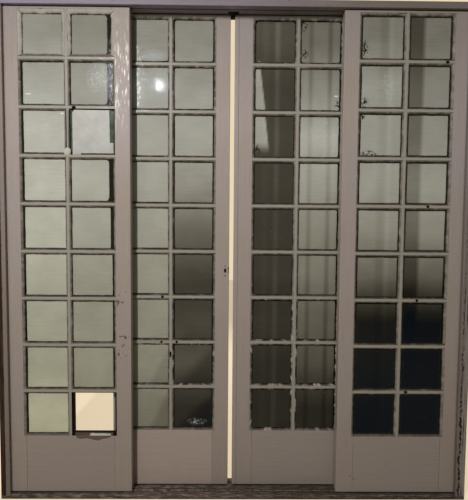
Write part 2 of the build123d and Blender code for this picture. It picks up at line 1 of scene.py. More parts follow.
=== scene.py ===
# %% [markdown]
# # Dressing an old four-leaf sliding door
# The door is a painted timber frame with four glazed leaves. Two leaves run on a front
# track and two on a rear one. Its solids come finished from the construction, so this
# lesson only dresses them: paint, putty, coated glass, worn timber and steel.
# The first step loads those solids and throws away whatever the start-up file holds.

import json
import math

import bpy
from mathutils import Matrix, Vector, noise

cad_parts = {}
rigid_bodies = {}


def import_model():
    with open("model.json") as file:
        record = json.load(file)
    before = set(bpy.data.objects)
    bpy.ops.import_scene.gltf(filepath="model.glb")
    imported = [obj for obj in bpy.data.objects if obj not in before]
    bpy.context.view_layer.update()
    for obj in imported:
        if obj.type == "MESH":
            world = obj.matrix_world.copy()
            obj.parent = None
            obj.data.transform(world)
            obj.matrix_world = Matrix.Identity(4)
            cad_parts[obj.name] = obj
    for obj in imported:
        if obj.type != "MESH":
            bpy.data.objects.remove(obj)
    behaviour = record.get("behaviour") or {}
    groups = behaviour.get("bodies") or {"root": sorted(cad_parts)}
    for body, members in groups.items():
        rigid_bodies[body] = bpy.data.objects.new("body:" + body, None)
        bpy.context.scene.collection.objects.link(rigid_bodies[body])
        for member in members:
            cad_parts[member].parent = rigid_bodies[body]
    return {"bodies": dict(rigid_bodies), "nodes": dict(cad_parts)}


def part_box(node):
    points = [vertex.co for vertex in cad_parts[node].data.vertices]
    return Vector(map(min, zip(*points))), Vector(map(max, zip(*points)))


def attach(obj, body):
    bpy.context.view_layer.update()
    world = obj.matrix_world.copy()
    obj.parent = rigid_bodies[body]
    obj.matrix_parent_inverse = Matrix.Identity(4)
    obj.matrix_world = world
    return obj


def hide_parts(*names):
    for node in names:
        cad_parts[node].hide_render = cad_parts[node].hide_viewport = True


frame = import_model()
nodes = frame["nodes"]
kept = set(nodes.values()) | set(frame["bodies"].values())
for leftover in [o for o in bpy.data.objects if o not in kept]:
    bpy.data.objects.remove(leftover)
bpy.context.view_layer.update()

# %% [markdown]
# Blender works in metres and a joiner in millimetres.


# %% Sizes of the joinery
def mm(value):
    """Millimetres as metres."""
    return value / 1000


ROW_COUNT = 9
ROW_PITCH = mm(206)
BAR_WIDTH = mm(25)
BOTTOM_RAIL = mm(264)
GLASS_DEPTH = mm(10)
GLASS_THICKNESS = mm(3)
GLASS_EDGE_GAP = mm(1.5)
FRAME_REBATE = mm(9.5)
BAR_REBATE = mm(6.5)
LEAVES = ("leaf_1", "leaf_2", "leaf_3", "leaf_4")
MISSING_PANE = ("leaf_1", 0, 1)
PATCHED_PANE = ("leaf_1", 6, 1)
SLIPPED_BAR_SHIFT = mm(4)
STILE_WIDTH = {"leaf_1": mm(74.5), "leaf_2": mm(71.5), "leaf_3": mm(71.5), "leaf_4": mm(74.5)}
LOW = {leaf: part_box(leaf + "_left_stile")[0] for leaf in LEAVES}
HIGH = {leaf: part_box(leaf + "_right_stile")[1] for leaf in LEAVES}


def sight(leaf, row, column):
    """The clear opening of a pane as (x0, x1, z0, z1), row 0 at the bottom."""
    left, right = LOW[leaf].x, HIGH[leaf].x
    middle = (left + right) / 2
    z0 = LOW[leaf].z + BOTTOM_RAIL + row * ROW_PITCH
    z1 = z0 + ROW_PITCH - BAR_WIDTH
    if column == 0:
        return (left + STILE_WIDTH[leaf], middle - BAR_WIDTH / 2, z0, z1)
    return (middle + BAR_WIDTH / 2, right - STILE_WIDTH[leaf], z0, z1)


def rebate(leaf, row, column):
    """The rebate round that opening, wider along stiles and rails than along bars."""
    x0, x1, z0, z1 = sight(leaf, row, column)
    x0 -= FRAME_REBATE if column == 0 else BAR_REBATE
    x1 += BAR_REBATE if column == 0 else FRAME_REBATE
    z0 -= FRAME_REBATE if row == 0 else BAR_REBATE
    z1 += FRAME_REBATE if row == ROW_COUNT - 1 else BAR_REBATE
    return (x0, x1, z0, z1)


for leaf in LEAVES:
    print(leaf, "lower left pane", [round(v, 4) for v in sight(leaf, 0, 0)])

# %% [markdown]
# The picture was taken from a little left of the middle, at chest height, with the camera
# tipped down by three degrees and rolled by half a degree. A camera can be aimed with a
# Track To constraint, but writing its matrix from the three angles keeps the roll exact.

# %% Camera
CAMERA_PLACE = Vector((-0.027, -2.053, 1.2252))
YAW, PITCH, ROLL = 0.0096, 0.0564, 0.0078
forward = Vector((math.sin(YAW) * math.cos(PITCH), math.cos(YAW) * math.cos(PITCH), -math.sin(PITCH)))
level = Vector((math.cos(YAW), -math.sin(YAW), 0))
upright = level.cross(forward)
camera_right = level * math.cos(ROLL) + upright * math.sin(ROLL)
camera_up = upright * math.cos(ROLL) - level * math.sin(ROLL)
turn = Matrix((camera_right, camera_up, -forward)).transposed()
camera_data = bpy.data.cameras.new("camera")
camera_data.lens = 33.12
camera_data.sensor_width = 36
camera = bpy.data.objects.new("camera", camera_data)
camera.matrix_world = Matrix.Translation(CAMERA_PLACE) @ turn.to_4x4()
bpy.context.scene.collection.objects.link(camera)
bpy.context.scene.camera = camera
print("camera at", tuple(camera.location))

# %% [markdown]
# Colours are written as sRGB hex, the way a paint card gives them, and one function turns
# them to the linear values that the renderer counts in. One more small function adds a
# shader node with its settings, and gives one of its outputs back. Each input gets a fixed
# value or the output of another node. Some inputs go by number: Map Range has its value at
# 0, the span that it comes from at 1 and 2, and the span that it goes to at 3 and 4; Mix
# has its share at 0 and its two colours at 6 and 7.


# %% Helpers for every finish
def linear(hexcode):
    """An sRGB hex colour as linear red, green, blue and alpha."""
    channels = [int(hexcode[i:i + 2], 16) / 255 for i in (1, 3, 5)]
    return [c / 12.92 if c <= 0.04045 else ((c + 0.055) / 1.055) ** 2.4 for c in channels] + [1]


def feed(node, inputs):
    """Sets each input to its value, or links it where that is another node's output."""
    for socket, source in inputs.items():
        if isinstance(source, bpy.types.NodeSocket):
            node.id_data.links.new(source, node.inputs[socket])
        else:
            node.inputs[socket].default_value = source


def add(tree, kind, inputs=None, out=0, stops=(), **settings):
    """Adds one shader node: its settings, the stops of a ramp, then its inputs."""
    node = tree.nodes.new("ShaderNode" + kind)
    for setting, value in settings.items():
        setattr(node, setting, value)
    if stops:
        ramp = node.color_ramp.elements
        ramp.remove(ramp[-1])
        for index, (place, hexcode) in enumerate(stops):
            stop = ramp.new(place) if index else ramp[0]
            stop.position, stop.color = place, linear(hexcode)
    feed(node, inputs or {})
    return node.outputs[out] if len(node.outputs) else None


def new_finish(name, **values):
    """A material with only its shader, whose fixed values are set, and the point's place."""
    material = bpy.data.materials.new(name)
    material.use_nodes = True
    tree = material.node_tree
    tree.nodes.clear()
    surface = add(tree, "BsdfPrincipled", {key.replace("_", " "): v for key, v in values.items()})
    add(tree, "OutputMaterial", {"Surface": surface})
    return material, tree, surface.node, add(tree, "TexCoord", out="Object")


print("dark red in linear:", [round(c, 4) for c in linear("#802020")])

# %% [markdown]
# The stage is a plain pale floor and a pale, warm background. The background comes from
# the world: what the camera and the reflections see of it is its own colour at strength
# one, while the light that it sheds on the door is neutral and much weaker. The floor glows
# a little to the camera alone, so that it is as pale as the background and still takes a
# shadow.

# %% Background
BACKGROUND = linear("#ebd8b7")
AMBIENT = 0.10
AMBIENT_COLOUR = linear("#e9ebf2")

world = bpy.data.worlds.new("pale_room")
bpy.context.scene.world = world
world.use_nodes = True
tree = world.node_tree
tree.nodes.clear()
path = add(tree, "LightPath").node.outputs
seen = add(tree, "Math", {0: path["Is Camera Ray"], 1: path["Is Glossy Ray"]}, operation="MAXIMUM")
seen = add(tree, "Math", {0: seen, 1: path["Is Transmission Ray"]}, operation="MAXIMUM")
shed = add(tree, "Background", {"Color": AMBIENT_COLOUR, "Strength": AMBIENT})
room = add(tree, "Background", {"Color": BACKGROUND, "Strength": 1.0})
both = add(tree, "MixShader", {0: seen, 1: shed, 2: room})
add(tree, "OutputWorld", {"Surface": both})
print("background", [round(c, 3) for c in BACKGROUND[:3]], "ambient light", AMBIENT)

# %% Floor
FLOOR_GLOW = 0.62
FLOOR_REACH = 8


def new_piece(name, points, faces, *materials):
    """A new object made of points and faces, with its materials."""
    mesh = bpy.data.meshes.new(name)
    mesh.from_pydata(points, [], faces)
    for material in materials:
        mesh.materials.append(material)
    piece = bpy.data.objects.new(name, mesh)
    bpy.context.scene.collection.objects.link(piece)
    return piece


floor_paint, tree, shader, place = new_finish("pale_floor", Roughness=0.8)
cloud = add(tree, "TexNoise", {"Vector": place, "Scale": 3.0, "Detail": 3.0})
pale = add(tree, "ValToRGB", {"Fac": cloud}, stops=[(0.3, "#cfc4b0"), (0.7, "#d6ccb9")])
seen = add(tree, "LightPath", out="Is Camera Ray")
glow = add(tree, "Math", {0: seen, 1: FLOOR_GLOW}, operation="MULTIPLY")
feed(shader, {"Base Color": pale, "Emission Color": BACKGROUND, "Emission Strength": glow})
ends = (-FLOOR_REACH, FLOOR_REACH)
floor = new_piece("floor", [(x, y, 0) for y in ends for x in ends], [(0, 1, 3, 2)], floor_paint)
print("floor", 2 * FLOOR_REACH, "m square")

# %% [markdown]
# In the picture the light comes from high on the left: the paint is brightest there
# and fades to the lower right, and the leaf in front throws a short hard shadow on the
# next one. An upright soft lamp three metres away gives that fall, that shadow and the
# broken shine on the first leaf's right stile. A small one beside it makes the glint in a
# pane of the second leaf, and a broad panel behind the door lights its back.


# %% Lamps
def soft_lamp(name, place, target, width, height, watts, colour="#ffffff"):
    """A rectangular soft lamp aimed at a point."""
    data = bpy.data.lights.new(name, "AREA")
    data.shape = "RECTANGLE"
    data.size, data.size_y = width, height
    data.energy = watts
    data.color = linear(colour)[:3]
    lamp = bpy.data.objects.new(name, data)
    lamp.location = place
    lamp.rotation_mode = "QUATERNION"
    lamp.rotation_quaternion = (Vector(target) - Vector(place)).to_track_quat("-Z", "Y")
    bpy.context.scene.collection.objects.link(lamp)
    return lamp


soft_lamp("key_lamp", (-1.165, -3.05, 2.76), (0, 0, 1.2), 0.07, 0.62, 80, "#fffaf6")
soft_lamp("glint_lamp", (-0.80, -2.98, 2.71), (-0.35, 0, 1.82), 0.055, 0.05, 1.5, "#f4f7ff")
soft_lamp("back_panel", (0.8, 2.6, 2.2), (0, 0, 1.1), 1.8, 1.8, 45, "#fff6e8")

# %% [markdown]
# A finish looks old because different things have happened in different places. Masks say
# where: a mask is one where something shows and zero elsewhere. The helpers below make
# masks from noise, arrises, inner corners, ellipses seen from the front, and boxes. Colours
# are then laid over one another through such masks, and bumps are laid on one another.


# %% Masks
# The cosine between the rounded and the true normal where wear begins, and where it's full.
WEAR_FROM, WEAR_FULL = 0.995, 0.90


def blotches(tree, place, scale, detail, low, high, below=0.0, above=1.0, rough=0.5):
    """Patches of noise: one value where it is below low, another where it is above high."""
    cloud = add(tree, "TexNoise", {"Vector": place, "Scale": scale, "Detail": detail, "Roughness": rough})
    return add(tree, "MapRange", {0: cloud, 1: low, 2: high, 3: below, 4: above})


def edge_wear(tree, radius):
    """The normal of an arris as if it were rounded, and a mask that is one on the arris."""
    rounded = add(tree, "Bevel", {"Radius": radius}, samples=4)
    flat = add(tree, "NewGeometry", out="Normal")
    turned = add(tree, "VectorMath", {0: rounded, 1: flat}, "Value", operation="DOT_PRODUCT")
    return rounded, add(tree, "MapRange", {0: turned, 1: WEAR_FROM, 2: WEAR_FULL})


def corner_grime_and_shade(tree, reach, first, full, most):
    """A mask that darkens where two pieces meet, by ambient occlusion: grime and painted shade."""
    corner = add(tree, "AmbientOcclusion", {"Distance": reach}, "AO", samples=6)
    return add(tree, "MapRange", {0: corner, 1: first, 2: full, 4: most})


def spots(tree, place, marks, soft):
    """A mask of soft-edged ellipses, each given as (X, Z, half width, half height)."""
    mask = None
    for x, z, half_x, half_z in marks:
        shares = {1: (1 / half_x, 0, 1 / half_z), 2: (-x / half_x, 0, -z / half_z)}
        off = add(tree, "VectorMath", {0: place, **shares}, operation="MULTIPLY_ADD")
        far = add(tree, "VectorMath", {0: off}, "Value", operation="LENGTH")
        near = add(tree, "MapRange", {0: far, 1: 1.0, 2: 1 - soft})
        mask = add(tree, "Math", {0: mask, 1: near}, operation="MAXIMUM") if mask else near
    return mask


def within(tree, place, low, high, soft):
    """A mask that is one inside a box and falls to zero over a soft edge."""
    middle = [(a + b) / 2 for a, b in zip(low, high)]
    half = [(b - a) / 2 for a, b in zip(low, high)]
    off = add(tree, "VectorMath", {0: place, 1: middle}, operation="SUBTRACT")
    off = add(tree, "VectorMath", {0: off}, operation="ABSOLUTE")
    off = add(tree, "VectorMath", {0: off, 1: half}, operation="SUBTRACT")
    x, y, z = add(tree, "SeparateXYZ", {0: off}).node.outputs
    worst = add(tree, "Math", {0: x, 1: y}, operation="MAXIMUM")
    worst = add(tree, "Math", {0: worst, 1: z}, operation="MAXIMUM")
    return add(tree, "MapRange", {0: worst, 1: soft, 2: 0.0})


print("masks:", [helper.__name__ for helper in (blotches, edge_wear, corner_grime_and_shade, spots, within)])


# %% Layers and worn places
def coats(tree, colour, *layers):
    """Lays colours over a first one, each given as (mask, hex colour or output)."""
    for mask, tint in layers:
        tint = linear(tint) if isinstance(tint, str) else tint
        colour = add(tree, "Mix", {0: mask, 6: colour, 7: tint}, 2, data_type="RGBA")
    return colour


def reliefs(tree, normal, *bumps):
    """Bumps on one another, each given as (height, strength, depth in millimetres)."""
    for height, strength, depth in bumps:
        inputs = {"Height": height, "Strength": strength, "Distance": mm(depth)}
        if normal:
            inputs["Normal"] = normal
        normal = add(tree, "Bump", inputs)
    return normal


# Where the paint is knocked about, as (X, Z, reach) in metres.
WORN_SPOTS = [
    (-0.508, 0.885, 0.060),
    (-0.512, 0.650, 0.085),
    (-0.484, 0.720, 0.045),
    (-0.035, 1.018, 0.030),
    (0.522, 0.100, 0.030),
]


def shaded_rebates(tree, place):
    """A mask of the two rebates that have lost their putty, painted black as painted shade on their unlit
    faces.
    """
    masks = []
    for leaf, row, column in (MISSING_PANE, PATCHED_PANE):
        x0, x1, z0, z1 = rebate(leaf, row, column)
        front = LOW[leaf].y
        low = (x0 - mm(0.3), front + mm(0.8), z0 - mm(0.3))
        high = (x1 + mm(0.3), front + mm(34), z1 + mm(0.3))
        masks.append(within(tree, place, low, high, mm(0.4)))
    return add(tree, "Math", {0: masks[0], 1: masks[1]}, operation="MAXIMUM")


def torn_wood(tree, place):
    """A mask of the splintered hollow below the missing pane, where bare wood shows."""
    x0, x1, z0, _ = sight(*MISSING_PANE)
    front = LOW["leaf_1"].y
    low = (x0 + mm(4), front + mm(0.5), z0 - mm(36))
    high = (x1 - mm(10), front + mm(35), z0 - mm(1))
    return within(tree, place, low, high, mm(0.4))


print("masks for", len(WORN_SPOTS), "worn spots, 2 bare rebates and 1 torn place")

# %% [markdown]
# The joinery is softwood under many coats of alkyd gloss, put on with a brush. Each coat
# follows the length of its member, so the ridges of the bristles run up the stiles and
# across the rails. Under the eye that gives long fine streaks, a slightly wavy shine,
# paler rubbed arrises, and grime with painted shade where two pieces meet. The ridges of
# a bristle are half a millimetre apart, too fine to show at this distance, so they are
# drawn five times as coarse. The colour drifts between a mauve and a beige grey, and it is
# browner and darker towards the floor. Painted shade darkens it towards the head.

# %% Old gloss paint
BRISTLE = mm(2.5)
STROKE = mm(260)
GLOSS_IOR = 1.5
GLOSS_SHINE = 0.16
CHIP_EDGE = 0.015


def gloss_paint(
    name, along, cool, warm, low, chips=0.73, corner_darkening=0.75, roughness=0.42, broken=(), shaded_half=None
):
    """Old brushed gloss paint whose strokes run along one axis."""
    fixed = {"Roughness": roughness, "IOR": GLOSS_IOR, "Specular_IOR_Level": GLOSS_SHINE}
    material, tree, shader, place = new_finish(name, **fixed)
    height = add(tree, "SeparateXYZ", {0: place}, "Z")
    fine = [1 / (STROKE if axis == along else BRISTLE) for axis in "XYZ"]
    brushed = add(tree, "Mapping", {"Vector": place, "Scale": fine})
    streak = add(tree, "TexNoise", {"Vector": brushed, "Scale": 1.0, "Detail": 3.0, "Roughness": 0.55})
    broad = [1 / mm(48 if axis == along else 11) for axis in "XYZ"]
    waved = add(tree, "Mapping", {"Vector": place, "Scale": broad})
    wave = add(tree, "TexNoise", {"Vector": waved, "Scale": 1.0, "Detail": 2.0})

    drift = blotches(tree, place, 3.1, 2.0, 0.36, 0.64)
    # Browner and darker towards the floor.
    down = add(tree, "MapRange", {0: height, 1: 1.9, 2: 0.1})
    colour = coats(tree, linear(cool), (drift, warm), (down, low))
    # Painted shade: the coat is darkened towards the head.
    painted_shade = add(tree, "MapRange", {0: height, 1: 1.70, 2: 2.15, 3: 1.0, 4: 0.74})
    light = add(tree, "MapRange", {0: streak, 1: 0.3, 2: 0.7, 3: 0.93, 4: 1.07})
    for tone in (painted_shade, light):
        colour = add(tree, "VectorMath", {0: colour, "Scale": tone}, operation="SCALE")

    rounded, arris = edge_wear(tree, mm(2.2))
    rub = blotches(tree, place, 1 / mm(14), 4.0, 0.45, 0.62, above=0.45)
    rubbed = add(tree, "Math", {0: rub, 1: arris}, operation="MULTIPLY")
    # Grime and painted shade where two pieces meet.
    grime_and_shade = corner_grime_and_shade(tree, mm(9), 0.95, 0.35, corner_darkening)
    flake = add(tree, "TexNoise", {"Vector": place, "Scale": 1 / mm(15), "Detail": 5.0, "Roughness": 0.6})
    level_place = add(tree, "VectorMath", {0: place, 1: (1, 0, 1)}, operation="MULTIPLY")
    for x, z, reach in WORN_SPOTS:
        away = add(tree, "VectorMath", {0: level_place, 1: (x, 0, z)}, "Value", operation="DISTANCE")
        near = add(tree, "MapRange", {0: away, 1: reach, 2: 0.0, 4: 0.17})
        flake = add(tree, "Math", {0: flake, 1: near}, operation="ADD")
    chip = add(tree, "MapRange", {0: flake, 1: chips, 2: chips + CHIP_EDGE})
    layers = [(rubbed, "#cfc9c1"), (grime_and_shade, "#3a332b"), (chip, "#665a50")]
    if shaded_half:
        # Painted shade on the right half of the slipped bar.
        half_shade = within(tree, place, *shaded_half, mm(1.5))
        half_shade = add(tree, "Math", {0: half_shade, 1: 0.8}, operation="MULTIPLY")
        layers.append((half_shade, "#5a574f"))
    # The empty rebates are painted black as painted shade; the nib stumps are black with old dirt.
    bare = shaded_rebates(tree, place)
    if broken:
        stumps = spots(tree, place, [[mm(size) for size in stump] for stump in broken], 0.25)
        bare = add(tree, "Math", {0: bare, 1: stumps}, operation="MAXIMUM")
    layers += [(bare, "#15110e"), (torn_wood(tree, place), "#6b5a50")]

    relief = reliefs(tree, rounded, (streak, 0.2, 0.25), (wave, 0.5, 0.7))
    pits = {"Height": chip, "Normal": relief, "Strength": 0.8, "Distance": mm(0.6)}
    pitted = add(tree, "Bump", pits, invert=True)
    dull = blotches(tree, waved, 1.4, 4.0, 0.50, 0.64, roughness, roughness - 0.20)
    dull = add(tree, "Math", {0: dull, 1: chip}, operation="ADD")
    dull = add(tree, "Math", {0: dull, 1: bare}, operation="ADD", use_clamp=True)
    feed(shader, {"Base Color": coats(tree, colour, *layers), "Normal": pitted, "Roughness": dull})
    return material


# Black grime round the keyhole, in two old screw holes and in nicks on the arris beside
# it, as (X, Z, half width, half height) in millimetres.
KEYHOLE_GRIME = [
    (-46.5, 1015.5, 6.5, 11),
    (-47, 1037, 3, 3),
    (-46.5, 992, 3.5, 3),
    (-29.5, 1026, 5, 7),
    (-29.5, 1008, 4.5, 5),
]
paint_upright = gloss_paint(
    "alkyd_gloss_brushed_upright", "Z", "#b1a9aa", "#afa49b", "#9c9188", broken=KEYHOLE_GRIME
)
paint_level = gloss_paint("alkyd_gloss_brushed_level", "X", "#b0a8a6", "#ada397", "#9a9088")
# The second leaf's bottom rail is lighter and redder near the floor: a painted pool of light.
paint_lit_rail = gloss_paint("alkyd_gloss_second_leaf_rail", "X", "#b0a8a6", "#ada397", "#ac9d94")
print("made", paint_upright.name, paint_level.name, "and", paint_lit_rail.name)

# %% [markdown]
# The glazing bars wear a slightly shinier coat, with more grime and painted shade in their
# many corners. Where a piece of the nib has broken off, old dirt has turned the stump black.
# The right half of the slipped bar is painted darker, as painted shade on its shoulder.

# %% Bars' paint
# Stumps of broken nibs, as (X, Z, half width, half height) in millimetres.
STUMPS = [
    (-697.5, 1715.5, 10, 12),
    (-333, 688.5, 6, 7),
    (-264, 688.5, 6, 7),
    (-328, 894.5, 7, 7),
    (-294, 631, 7, 16),
    (761.5, 482.5, 9, 7),
    (799.5, 894.5, 7, 7),
    (835.5, 1306.5, 7.5, 7),
    (901.5, 1924.5, 9.5, 7),
]
_, bar_left, bar_foot, bar_top = sight("leaf_1", 6, 0)
bar_middle = bar_left + BAR_WIDTH / 2 + SLIPPED_BAR_SHIFT
paint_bars = gloss_paint(
    "alkyd_gloss_on_bars",
    "X",
    "#a9a6a2",
    "#a6a196",
    "#9a9488",
    chips=0.72,
    corner_darkening=0.9,
    roughness=0.36,
    broken=STUMPS,
    shaded_half=((bar_middle, -1, bar_foot), (bar_middle + BAR_WIDTH / 2, 1, bar_top)),
)
print("made", paint_bars.name)


# %% Dress stiles, rails and bars
def dress(node, material):
    """Puts a finish on a node that keeps its own mesh."""
    nodes[node].data.materials.clear()
    nodes[node].data.materials.append(material)


for leaf in LEAVES:
    for member in ("left_stile", "right_stile"):
        dress(leaf + "_" + member, paint_upright)
    for member in ("bottom_rail", "top_rail"):
        dress(leaf + "_" + member, paint_level)
    for member in ("horizontal_bars", "vertical_bars"):
        dress(leaf + "_" + member, paint_bars)
dress("leaf_2_bottom_rail", paint_lit_rail)
dress("leaf_3_closing_strip", paint_upright)
print("dressed", 6 * len(LEAVES) + 1, "nodes")

# %% [markdown]
# The frame has the same paint, but it has suffered more. The left jamb is painted only
# beside the leaf and bare brown beyond, and the right jamb is chipped to a grey primer
# with a dark ragged crack. Both are one paint with a mask over it: how far a point lies
# from the opening decides what shows.

# %% Frame paint
# How far from the door's middle the paint begins to give way, and where it's gone.
PAINT_ENDS = (mm(1008.5), mm(1010))
DARK_WOOD = [(0.30, "#17100b"), (0.52, "#33251c"), (0.72, "#54453a")]
GREY_PRIMER = [(0.34, "#2c2621"), (0.44, "#7d7672"), (0.70, "#a39c98")]


def wood_grain(tree, place, sizes, detail, bend, stops):
    """Noise drawn out along the grain, sizes in millimetres, and bare wood's colours on it."""
    drawn_out = add(tree, "Mapping", {"Vector": place, "Scale": [1 / mm(size) for size in sizes]})
    inputs = {"Vector": drawn_out, "Scale": 1.0, "Detail": detail, "Distortion": bend}
    grain = add(tree, "TexNoise", inputs)
    return grain, add(tree, "ValToRGB", {"Fac": grain}, stops=stops)


def reopened(material):
    """A finished material's tree and shader, with its colour and the point's place."""
    tree = material.node_tree
    shader = tree.nodes["Principled BSDF"]
    painted = shader.inputs["Base Color"].links[0].from_socket
    return tree, shader, painted, add(tree, "TexCoord", out="Object")


def jamb_paint(name, side, bare, ragged, tones, crack=None):
    """Gloss paint that gives way to bare or chipped wood towards its outer edge."""
    material = gloss_paint(name, "Z", *tones)
    tree, shader, painted, place = reopened(material)
    across = add(tree, "SeparateXYZ", {0: place}, "X")
    height = add(tree, "SeparateXYZ", {0: place}, "Z")
    out = add(tree, "Math", {0: across, 1: side}, operation="MULTIPLY")
    rag = blotches(tree, place, 1 / mm(30), 6.0, 0.3, 0.7, -ragged, ragged, 0.7)
    out = add(tree, "Math", {0: out, 1: rag}, operation="ADD")
    stripped = add(tree, "MapRange", {0: out, 1: PAINT_ENDS[0], 2: PAINT_ENDS[1]})
    _, wood = wood_grain(tree, place, (3, 3, 120), 5.0, 0.4, bare)
    layers = [(stripped, wood)]
    if crack:
        gape = blotches(tree, place, 1 / mm(12), 4.0, 0.40, 0.62, 0.0, mm(6), 0.7)
        deep = add(tree, "MapRange", {0: height, 1: 1.35, 2: 0.45, 3: 0.1})
        gape = add(tree, "Math", {0: gape, 1: deep}, operation="MULTIPLY")
        off = add(tree, "Math", {0: out, 1: crack}, operation="SUBTRACT")
        off = add(tree, "Math", {0: off}, operation="ABSOLUTE")
        inside = add(tree, "Math", {0: gape, 1: off}, operation="SUBTRACT")
        open_crack = add(tree, "MapRange", {0: inside, 1: 0.0, 2: mm(1)})
        layers.append((open_crack, "#17110f"))
    feed(shader, {"Base Color": coats(tree, painted, *layers)})
    return material


left_tones = ("#9a9191", "#948a82", "#7a7066")
right_tones = ("#8f8687", "#877d78", "#776d64")
dress("left_jamb", jamb_paint("gloss_over_bare_brown_pine", -1, DARK_WOOD, mm(1.5), left_tones))
dress("right_jamb", jamb_paint("gloss_chipped_to_grey_primer", 1, GREY_PRIMER, mm(6), right_tones, mm(1003)))
print("dressed the jambs")

# %% [markdown]
# The head's coat is cool and light on the left, and goes brown and dull to the right:
# partly its own tint, partly painted light that falls off away from the lamp. Its underside
# is painted black and dull over the meeting of the leaves, as painted shade. The brush never
# reached the head's top, which is out of sight once the door is built in.

# %% Head paint
COOL_LEFT = (1.15, 1.12, 1.27, 1)
BROWN_RIGHT = (0.80, 0.77, 0.61, 1)

head_paint = gloss_paint("alkyd_gloss_on_head", "X", "#a09aaa", "#979099", "#8f8888", chips=0.70)
tree, shader, painted, place = reopened(head_paint)
across = add(tree, "SeparateXYZ", {0: place}, "X")
height = add(tree, "SeparateXYZ", {0: place}, "Z")
# Partly the coat's own tint, partly painted light: lighter and cooler to the left, towards the lamp.
tint_and_light_fall = add(tree, "MapRange", {0: across, 1: -0.8, 2: 0.45})
tint_and_light_fall = add(tree, "Mix", {0: tint_and_light_fall, 6: COOL_LEFT, 7: BROWN_RIGHT}, 2, data_type="RGBA")
painted = add(tree, "Mix", {0: 1.0, 6: painted, 7: tint_and_light_fall}, 2, data_type="RGBA", blend_type="MULTIPLY")
# Painted shade: the underside over the meeting of the leaves is painted black and made dull.
painted_shade = within(tree, place, (mm(-36), mm(-12), mm(2130)), (mm(2), mm(56), mm(2160)), mm(8))
dull = shader.inputs["Roughness"].links[0].from_socket
dull = add(tree, "Math", {0: dull, 1: painted_shade}, operation="ADD", use_clamp=True)
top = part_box("head")[1].z
unpainted = add(tree, "MapRange", {0: height, 1: top - mm(0.8), 2: top - mm(0.3)})
_, wood = wood_grain(tree, place, (120, 3, 3), 5.0, 0.4, DARK_WOOD)
colour = coats(tree, painted, (painted_shade, "#0d0a08"), (unpainted, wood))
feed(shader, {"Base Color": colour, "Roughness": dull})
dress("head", head_paint)
print("dressed the head")

# %% [markdown]
# The sill is softwood that was painted once and has been walked on since. The grain shows
# grey and brown, and the paint is left in short strokes along the grain. One mask, made
# of stretched noise, decides where paint survives.

# %% Sill
sill_wood, tree, shader, place = new_finish("worn_painted_pine", Roughness=0.75)
pine = [(0.30, "#251e1a"), (0.50, "#433934"), (0.72, "#665b55")]
grain, wood = wood_grain(tree, place, (90, 2.5, 2.5), 6.0, 0.5, pine)
strokes = add(tree, "Mapping", {"Vector": place, "Scale": (1 / mm(42), 1 / mm(7), 1 / mm(7))})
left_on = blotches(tree, strokes, 1.0, 7.0, 0.50, 0.56, rough=0.65)
tint = add(tree, "TexNoise", {"Vector": place, "Scale": 4.0})
greys = [(0.35, "#70645f"), (0.50, "#857c76"), (0.66, "#78736b")]
remains = add(tree, "ValToRGB", {"Fac": tint}, stops=greys)
colour = add(tree, "Mix", {0: left_on, 6: wood, 7: remains}, 2, data_type="RGBA")
# The sill is paler round the second leaf and darker towards its ends.
paler_middle = spots(tree, place, [(-0.38, 0, 0.62, 10)], 1.0)
tone = add(tree, "MapRange", {0: paler_middle, 3: 0.62, 4: 1.45})
colour = add(tree, "VectorMath", {0: colour, "Scale": tone}, operation="SCALE")
# Grime and painted shade where the sill meets other parts.
grime_and_shade = corner_grime_and_shade(tree, mm(20), 0.95, 0.3, 0.8)
colour = add(tree, "Mix", {0: grime_and_shade, 6: colour, 7: linear("#1f1914")}, 2, data_type="RGBA")
rounded, _ = edge_wear(tree, mm(3))
relief = reliefs(tree, rounded, (grain, 0.7, 0.8), (left_on, 0.6, 0.5))
feed(shader, {"Base Color": colour, "Normal": relief})
dress("sill", sill_wood)
print("made", sill_wood.name)

# %% [markdown]
# The running rails are drawn mild steel with patches of rust. The roller cases are
# pressed steel with a dull zinc coat, the axles bright turned steel, the sheaves cast iron,
# and the lock's plates are steel with rust on them. Each is a metal with the default IOR;
# rust is a mask that takes the metal away.

# %% Steel and iron
RUST_EDGE = 0.12


def old_metal(name, bright, dull, rust, rust_from, roughness, grit):
    """A metal that rusts where its noise is high, with a fine grit in its surface."""
    material, tree, shader, place = new_finish(name, Metallic=1.0, Roughness=roughness)
    stain = add(tree, "TexNoise", {"Vector": place, "Scale": 1 / mm(9), "Detail": 6.0, "Roughness": 0.65})
    speck = add(tree, "TexNoise", {"Vector": place, "Scale": 1 / grit, "Detail": 2.0})
    metal = add(tree, "ValToRGB", {"Fac": speck}, stops=[(0.35, dull), (0.65, bright)])
    rusty = add(tree, "MapRange", {0: stain, 1: rust_from, 2: rust_from + RUST_EDGE})
    colour = add(tree, "Mix", {0: rusty, 6: metal, 7: linear(rust)}, 2, data_type="RGBA")
    sound = add(tree, "MapRange", {0: rusty, 3: 1.0, 4: 0.0})
    rough = add(tree, "MapRange", {0: rusty, 3: roughness, 4: 0.9})
    rounded, _ = edge_wear(tree, mm(0.5))
    relief = {"Height": stain, "Normal": rounded, "Strength": 0.5, "Distance": mm(0.2)}
    feed(shader, {"Base Color": colour, "Metallic": sound, "Roughness": rough})
    feed(shader, {"Normal": add(tree, "Bump", relief)})
    return material


